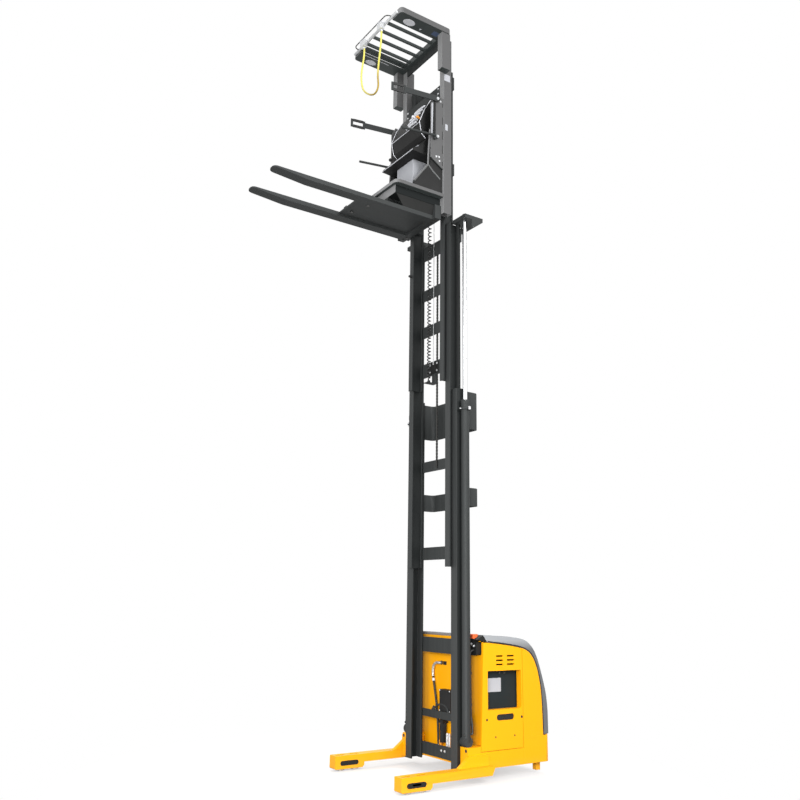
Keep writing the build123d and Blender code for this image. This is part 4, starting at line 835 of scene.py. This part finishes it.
# The cab's sides: the dashed seam of slots and the bolts on each side plate, two bare cards on each
# post, and a pale tapering edging beside the gate's link.
PLATE_Y = 0.433
POST_Y = 0.4415
POST_CARD_DEPTH = 0.0013
SEAM_X = (0.371, 0.378)
SEAM_Z = ((6.694, 6.747), (6.853, 6.958), (7.038, 7.143), (7.236, 7.329), (7.461, 7.513))
POST_CARDS = (((0.395, 0.480), (7.835, 7.925)), ((0.410, 0.446), (7.172, 7.252)))
PLATE_BOLTS = ((0.287, 6.79), (0.325, 6.795), (0.333, 6.745), (0.345, 7.53))
EDGING = ((0.214, 7.06), (0.228, 7.06), (0.243, 7.49), (0.214, 7.46))
for hand, side in SIDES.items():
    slots = Shape()
    for ends in SEAM_Z:
        slots.box(SEAM_X, (PLATE_Y - 0.0005, PLATE_Y + 0.0007), ends, side)
    slots.made(f"side_plate_slots_{hand}", black, "cab")
    heads = Shape()
    for x, z in PLATE_BOLTS:
        heads.bolt((x, side * PLATE_Y, z), (0, side, 0), 0.009)
    heads.made(f"side_plate_bolts_{hand}", zinc, "cab")
    cards = Shape()
    for x, z in POST_CARDS:
        cards.box(x, (POST_Y, POST_Y + POST_CARD_DEPTH), z, side)
    cards.made(f"post_cards_{hand}", panel, "cab", edge=0.0005)
    taper = Shape()
    taper.plate([(x, side * (PLATE_Y - 0.0002), z) for x, z in EDGING], (0, side * 0.0015, 0))
    taper.made(f"side_plate_edging_{hand}", panel, "cab")

# The gates: a black rubber sleeve on both legs of each grip loop, which slope with the bar, and a
# zinc-plated pin head on each pivot.
GATE_FALL = 0.12
GATE_PIN_X = 0.286
BAR_PIN_Z = 7.535
ROD_PIN_Z = 7.036
GRIP_ENDS_X = (-0.335, -0.198)
for hand, side in SIDES.items():
    sleeves = Shape()
    for low, high in ((0.022, 0.056), (-0.056, -0.022)):
        ends = [(x, BAR_PIN_Z - GATE_FALL * (GATE_PIN_X - x)) for x in GRIP_ENDS_X]
        lower = [(x, side * 0.448, z + low) for x, z in ends]
        upper = [(x, side * 0.448, z + high) for x, z in reversed(ends)]
        sleeves.plate(lower + upper, (0, side * 0.017, 0))
    sleeves.made(f"gate_grip_{hand}", rubber, f"gate_bar_{hand}", edge=0.004)
    caps = Shape()
    for z in (BAR_PIN_Z, ROD_PIN_Z):
        caps.bolt((GATE_PIN_X, side * 0.462, z), (0, side, 0), 0.013)
    caps.made(f"gate_pin_heads_{hand}", zinc, "cab")

# The guard's plates: thin bare sheets under its edge, an oval on each side, a narrow strip, a small
# triangle and a square. Each row of OVALS is X, Y, half its length and half its width.
GUARD_UNDER = 8.4152
PLATE_THICK = 0.0016
OVALS = ((-0.12, -0.43, 0.078, 0.052), (-0.095, 0.475, 0.074, 0.045))
OVAL_SIDES = 40
TRIANGLE = ((0.045, -0.415), (0.075, -0.415), (0.057, -0.390))
UNDER_Z = (GUARD_UNDER - PLATE_THICK, GUARD_UNDER)
badges = Shape()
for x, y, long, wide in OVALS:
    turns = [math.tau * step / OVAL_SIDES for step in range(OVAL_SIDES)]
    badges.plate([(x + long * math.cos(turn), y + wide * math.sin(turn), GUARD_UNDER) for turn in turns],
                 (0, 0, -PLATE_THICK))
badges.plate([(x, y, GUARD_UNDER) for x, y in TRIANGLE], (0, 0, -PLATE_THICK))
badges.box((-0.25, 0.12), (0.386, 0.393), UNDER_Z)
badges.made("guard_plates", pale, "cab")
blue_grey = Finish("blue_grey_plate", "console_grey", Specular_IOR_Level=0.3)
blue_grey.colour(30, dark=(0.06, 0.09, 0.16), light=(0.09, 0.12, 0.2))
blue_grey.gloss(30, smooth=0.4, spread=0.2)
square = Shape()
square.box((0.215, 0.30), (-0.475, -0.405), UNDER_Z)
square.made("guard_square_plate", blue_grey, "cab")

# The guard's fittings: a grooved lamp strip along the far side, and the strap and collar that tie
# each lanyard holder to the front tube.
LAMP_Y = 0.285
STRAP_X = (-0.404, -0.336)
STRAP_Z = (8.4335, 8.4395)
COLLAR_X = -0.356
lamp_bar = Shape()
lamp_bar.box((-0.30, 0.336), (0.276, 0.352), (8.424, 8.455))
for groove in range(3):
    y = LAMP_Y + groove * 0.024
    lamp_bar.box((-0.29, 0.33), (y, y + 0.010), (8.418, 8.425))
lamp_bar.made("guard_lamp_strip", cab_grey, "cab", edge=0.002)
straps = Shape()
for y in (-0.197, 0.197):
    straps.box(STRAP_X, (y - 0.045, y + 0.045), STRAP_Z)
    straps.bar((COLLAR_X, y, 8.353), (COLLAR_X, y, 8.338), 0.015)
straps.made("lanyard_holder_straps", pale, "cab", edge=0.001)

# The console's grille: five pale arched slats across the two sloping faces of the black hood, each a
# moulded round bar set into the face.
FACE = (Vector((0.139, 0, 7.265)), Vector((0.206, 0, 7.44)), Vector((0.297, 0, 7.60)))
SLAT_FIRST = 0.040
SLAT_PITCH = 0.070
SLAT_RADIUS = 0.013
SLAT_STEPS = 7
SLAT_END_Y = -0.215
slope = (FACE[1] - FACE[0]).normalized()
out = Vector((-slope.z, 0, slope.x))
lower_face = (FACE[1] - FACE[0]).length
grille = Shape()
for slat in range(5):
    reach = SLAT_FIRST + slat * SLAT_PITCH
    if reach < lower_face:
        spot = FACE[0] + slope * reach
    else:
        spot = FACE[1] + (FACE[2] - FACE[1]).normalized() * (reach - lower_face)
    arch = []
    for step in range(SLAT_STEPS + 1):
        arched = slope * 0.014 * math.sin(math.pi * step / SLAT_STEPS)
        arch.append(spot + out * 0.005 + Vector((0, SLAT_END_Y + 0.03 * step, 0)) + arched)
    grille.tube(arch, SLAT_RADIUS, sides=8)
grille.made("console_grille", pale, "cab")

# The control panel: an arched plate on the desk with two rows of round keys, and beside it the
# steering knob on its hub.
DESK_FOOT = Vector((0.137, 0, 6.929))
DESK_RISE = Vector((0.226 - 0.137, 0, 7.06 - 6.929))
PANEL_HALF = 0.235
PANEL_STEPS = 24
KEY_Y = 0.11
KEY_PITCH = 0.055
HUB = Vector((0.08, 0.16, 6.90))
desk_out = Vector((-DESK_RISE.z, 0, DESK_RISE.x)).normalized()
control_panel = Shape()
outline = []
for step in range(PANEL_STEPS + 1):
    turn = math.pi * step / PANEL_STEPS
    corner = Vector((0.1365, PANEL_HALF * math.cos(turn), 6.9293))
    outline.append(corner + DESK_RISE * (0.02 + 0.96 * math.sin(turn) ** 0.5))
control_panel.plate(outline, desk_out * 0.004)
control_panel.made("console_control_panel", panel, "cab", edge=0.0015)
keys = Shape()
for row, share in enumerate((0.25, 0.5)):
    for column in range(5 - row):
        y = KEY_Y - KEY_PITCH * column - 0.02 * row
        spot = DESK_FOOT + Vector((0, y, 0)) + DESK_RISE * share + desk_out * 0.0035
        keys.bar(spot, spot + desk_out * 0.008, 0.013, 0.011)
keys.bar(HUB, HUB + Vector((-0.014, 0, 0.036)), 0.03, 0.024)
keys.ball(HUB + Vector((-0.03, 0.03, 0.055)), 0.021)
keys.made("console_keys", moulding, "cab", edge=0.0015)

# The console's trim: pale lines let into the edges of the desk and of the hood, and the folded grey
# edges of the cab's black side linings.
TRIM_RADIUS = 0.004
TRIM_Y = 0.3005
FOLD_RADIUS = 0.011
FOLD_Y = 0.411
HOOD_TRIM = ((0.166, 7.112), (0.134, 7.26), (0.203, 7.44), (0.293, 7.60))
LINING_EDGE = ((0.209, 7.123), (0.190, 6.80), (0.184, 6.661), (0.10, 6.548), (-0.010, 6.397))
LINING_CREASE = ((0.184, 6.661), (0.25, 6.60), (0.358, 6.524))
trim = Shape()
trim.tube([(0.0205, -0.329, 6.846), (0.0205, 0.329, 6.846)], TRIM_RADIUS, sides=8)
trim.tube([(0.1375, -0.298, 7.255), (0.1375, 0.298, 7.255)], TRIM_RADIUS, sides=8)
for side in SIDES.values():
    line = [(0.226, side * 0.300, 7.066)] + [(x, side * TRIM_Y, z) for x, z in HOOD_TRIM]
    trim.tube(line, TRIM_RADIUS, sides=8)
trim.made("console_trim_lines", pale, "cab")
folds = Shape()
for side in SIDES.values():
    for fold in (LINING_EDGE, LINING_CREASE):
        folds.tube([(x, side * FOLD_Y, z) for x, z in fold], FOLD_RADIUS, sides=8)
folds.made("side_lining_folds", cab_grey, "cab")

# The console's hand controls: the orange emergency knob on its stem, and a pale lever with a ball at
# its end, both on the near side of the hood.
KNOB = Vector((0.164, -0.262, 7.327))
LEVER = Vector((0.166, -0.215, 7.335))
knob = Shape()
knob.bar(KNOB, KNOB + out * 0.03, 0.010)
knob.ball(KNOB + out * 0.034, 0.019, (1, 1, 0.75))
knob.made("emergency_knob", amber, "cab")
lever = Shape()
lever.bar(LEVER, LEVER + Vector((-0.07, -0.006, 0.012)), 0.009, 0.011)
lever.ball(LEVER + Vector((-0.075, -0.006, 0.013)), 0.014)
lever.made("console_lever", pale, "cab")

# The platform's mat: black rubber with ribs along the truck, laid on the floor plate, and a raised
# foot switch in its middle.
FLOOR_TOP = 6.339
MAT_BACK_X = 0.385
MAT_HALF = 0.36
MAT_RIBS = 24
MAT_RIB_PITCH = 0.03
floor_low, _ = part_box("platform")
mat = Shape()
mat.box((floor_low.x + 0.07, MAT_BACK_X), (-MAT_HALF, MAT_HALF), (FLOOR_TOP - 0.0005, FLOOR_TOP + 0.006))
for rib in range(MAT_RIBS):
    y = (rib - (MAT_RIBS - 1) / 2) * MAT_RIB_PITCH
    mat.bar((floor_low.x + 0.085, y, FLOOR_TOP + 0.005), (0.10, y, FLOOR_TOP + 0.005), 0.004, sides=6)
mat.box((-0.16, -0.04), (-0.06, 0.06), (FLOOR_TOP + 0.005, FLOOR_TOP + 0.014))
mat.made("platform_mat", rubber, "cab", edge=0.001)

# The skirt: a dark folded sheet under each side, which closes the gap between the platform's box
# and the forks. It tapers inwards towards its foot.
SKIRT_TOP = (0.369, 6.212)
SKIRT_FOOT = (0.335, 6.086)
skirts = Shape()
for side in SIDES.values():
    top = [(x, side * SKIRT_TOP[0], SKIRT_TOP[1]) for x in (floor_low.x + 0.045, 0.386)]
    foot = [(x, side * SKIRT_FOOT[0], SKIRT_FOOT[1]) for x in (0.386, floor_low.x + 0.17)]
    skirts.plate(top + foot, (0, -side * 0.004, 0))
skirts.made("platform_skirts", black, "cab", edge=0.001)

# The forks: the clasp levers that hold a pallet under the platform, the pins they turn on, and the
# bolts of the heel block. CLASP is a lever's outline, from its tip.
CLASP = ((0, -0.03), (0.05, -0.034), (0.20, -0.012), (0.20, 0.022), (0.04, 0.030))
CLASP_Z = 6.087
CLASP_PIN_X = 0.1
clasps = Shape()
for y, tip_x in ((0.08, -0.63), (-0.16, -0.56)):
    pin_x = tip_x + CLASP_PIN_X
    clasps.plate([(tip_x + along, y + across, CLASP_Z) for along, across in CLASP], (0, 0, 0.012))
    clasps.bar((pin_x, y, CLASP_Z - 0.035), (pin_x, y, CLASP_Z + 0.018), 0.014)
    clasps.bar((pin_x, y, CLASP_Z - 0.037), (pin_x, y, CLASP_Z - 0.029), 0.02, sides=6)
clasps.made("pallet_clasps", oiled, "cab", edge=0.0015)
heel = Shape()
for y in (-0.33, -0.25, 0.25, 0.33):
    heel.bolt((0.345, y, 6.0355), (0, 0, -1), 0.012)
    heel.bolt((0.306, y, 6.13), TO_FORKS, 0.011)
heel.made("fork_heel_bolts", oiled, "cab")

# The carriage and crossplates: rows of zinc-plated bolts that go through the plates into the posts,
# one beside each post at every height.
PLATE_BOLT_Z = (6.19, 6.55, 6.90, 7.33, 7.40, 7.71, 7.78)
PLATE_BOLT_Y = 0.325
plate_bolts = Shape()
for z in PLATE_BOLT_Z:
    for side in SIDES.values():
        plate_bolts.bolt((0.390, side * PLATE_BOLT_Y, z), TO_FORKS, 0.010)
plate_bolts.made("carriage_bolts", zinc, "cab")

# The pods: a steel shaft bar between the axles and a bolt on each axle, in the outer plate of every
# pod. They stay inside the outermost face of the axle plates.
AXLE_X = (-0.169, 0.003)
AXLE_Z = 0.083
_, axle_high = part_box("load_axles")
pod_face = axle_high.y - 0.0103
for hand, side in SIDES.items():
    heads = Shape()
    for x in AXLE_X:
        heads.bolt((x, side * pod_face, AXLE_Z), (0, side, 0), 0.011)
    heads.box((-0.132, -0.034), (pod_face + 0.006, axle_high.y), (AXLE_Z - 0.010, AXLE_Z + 0.010), side)
    heads.made(f"pod_axle_bolts_{hand}", oiled, "chassis", edge=0.001)

# The beacon's fittings: upright ribs moulded round its orange lens, and the two plugs in the face
# of its bracket.
LENS_RIBS = 6
LENS_RIB_Y = -0.494
LENS_RIB_PITCH = 0.0116
PLUG_X = 0.7435
ribs = Shape()
for rib in range(LENS_RIBS):
    y = LENS_RIB_Y + rib * LENS_RIB_PITCH
    ribs.box((0.7415, 0.8035), (y - 0.0025, y + 0.0025), (1.374, 1.412))
ribs.made("beacon_ribs", orange, "chassis", edge=0.001)
plugs = Shape()
for y, z in ((-0.515, 1.300), (-0.475, 1.318)):
    plugs.bar((PLUG_X, y, z), (PLUG_X - 0.0115, y, z), 0.012)
    plugs.bar((PLUG_X - 0.011, y, z), (PLUG_X - 0.0175, y, z), 0.007, sides=6)
plugs.made("beacon_bracket_plugs", zinc, "chassis", edge=0.0008)

bpy.context.scene.view_settings.view_transform = "Standard"
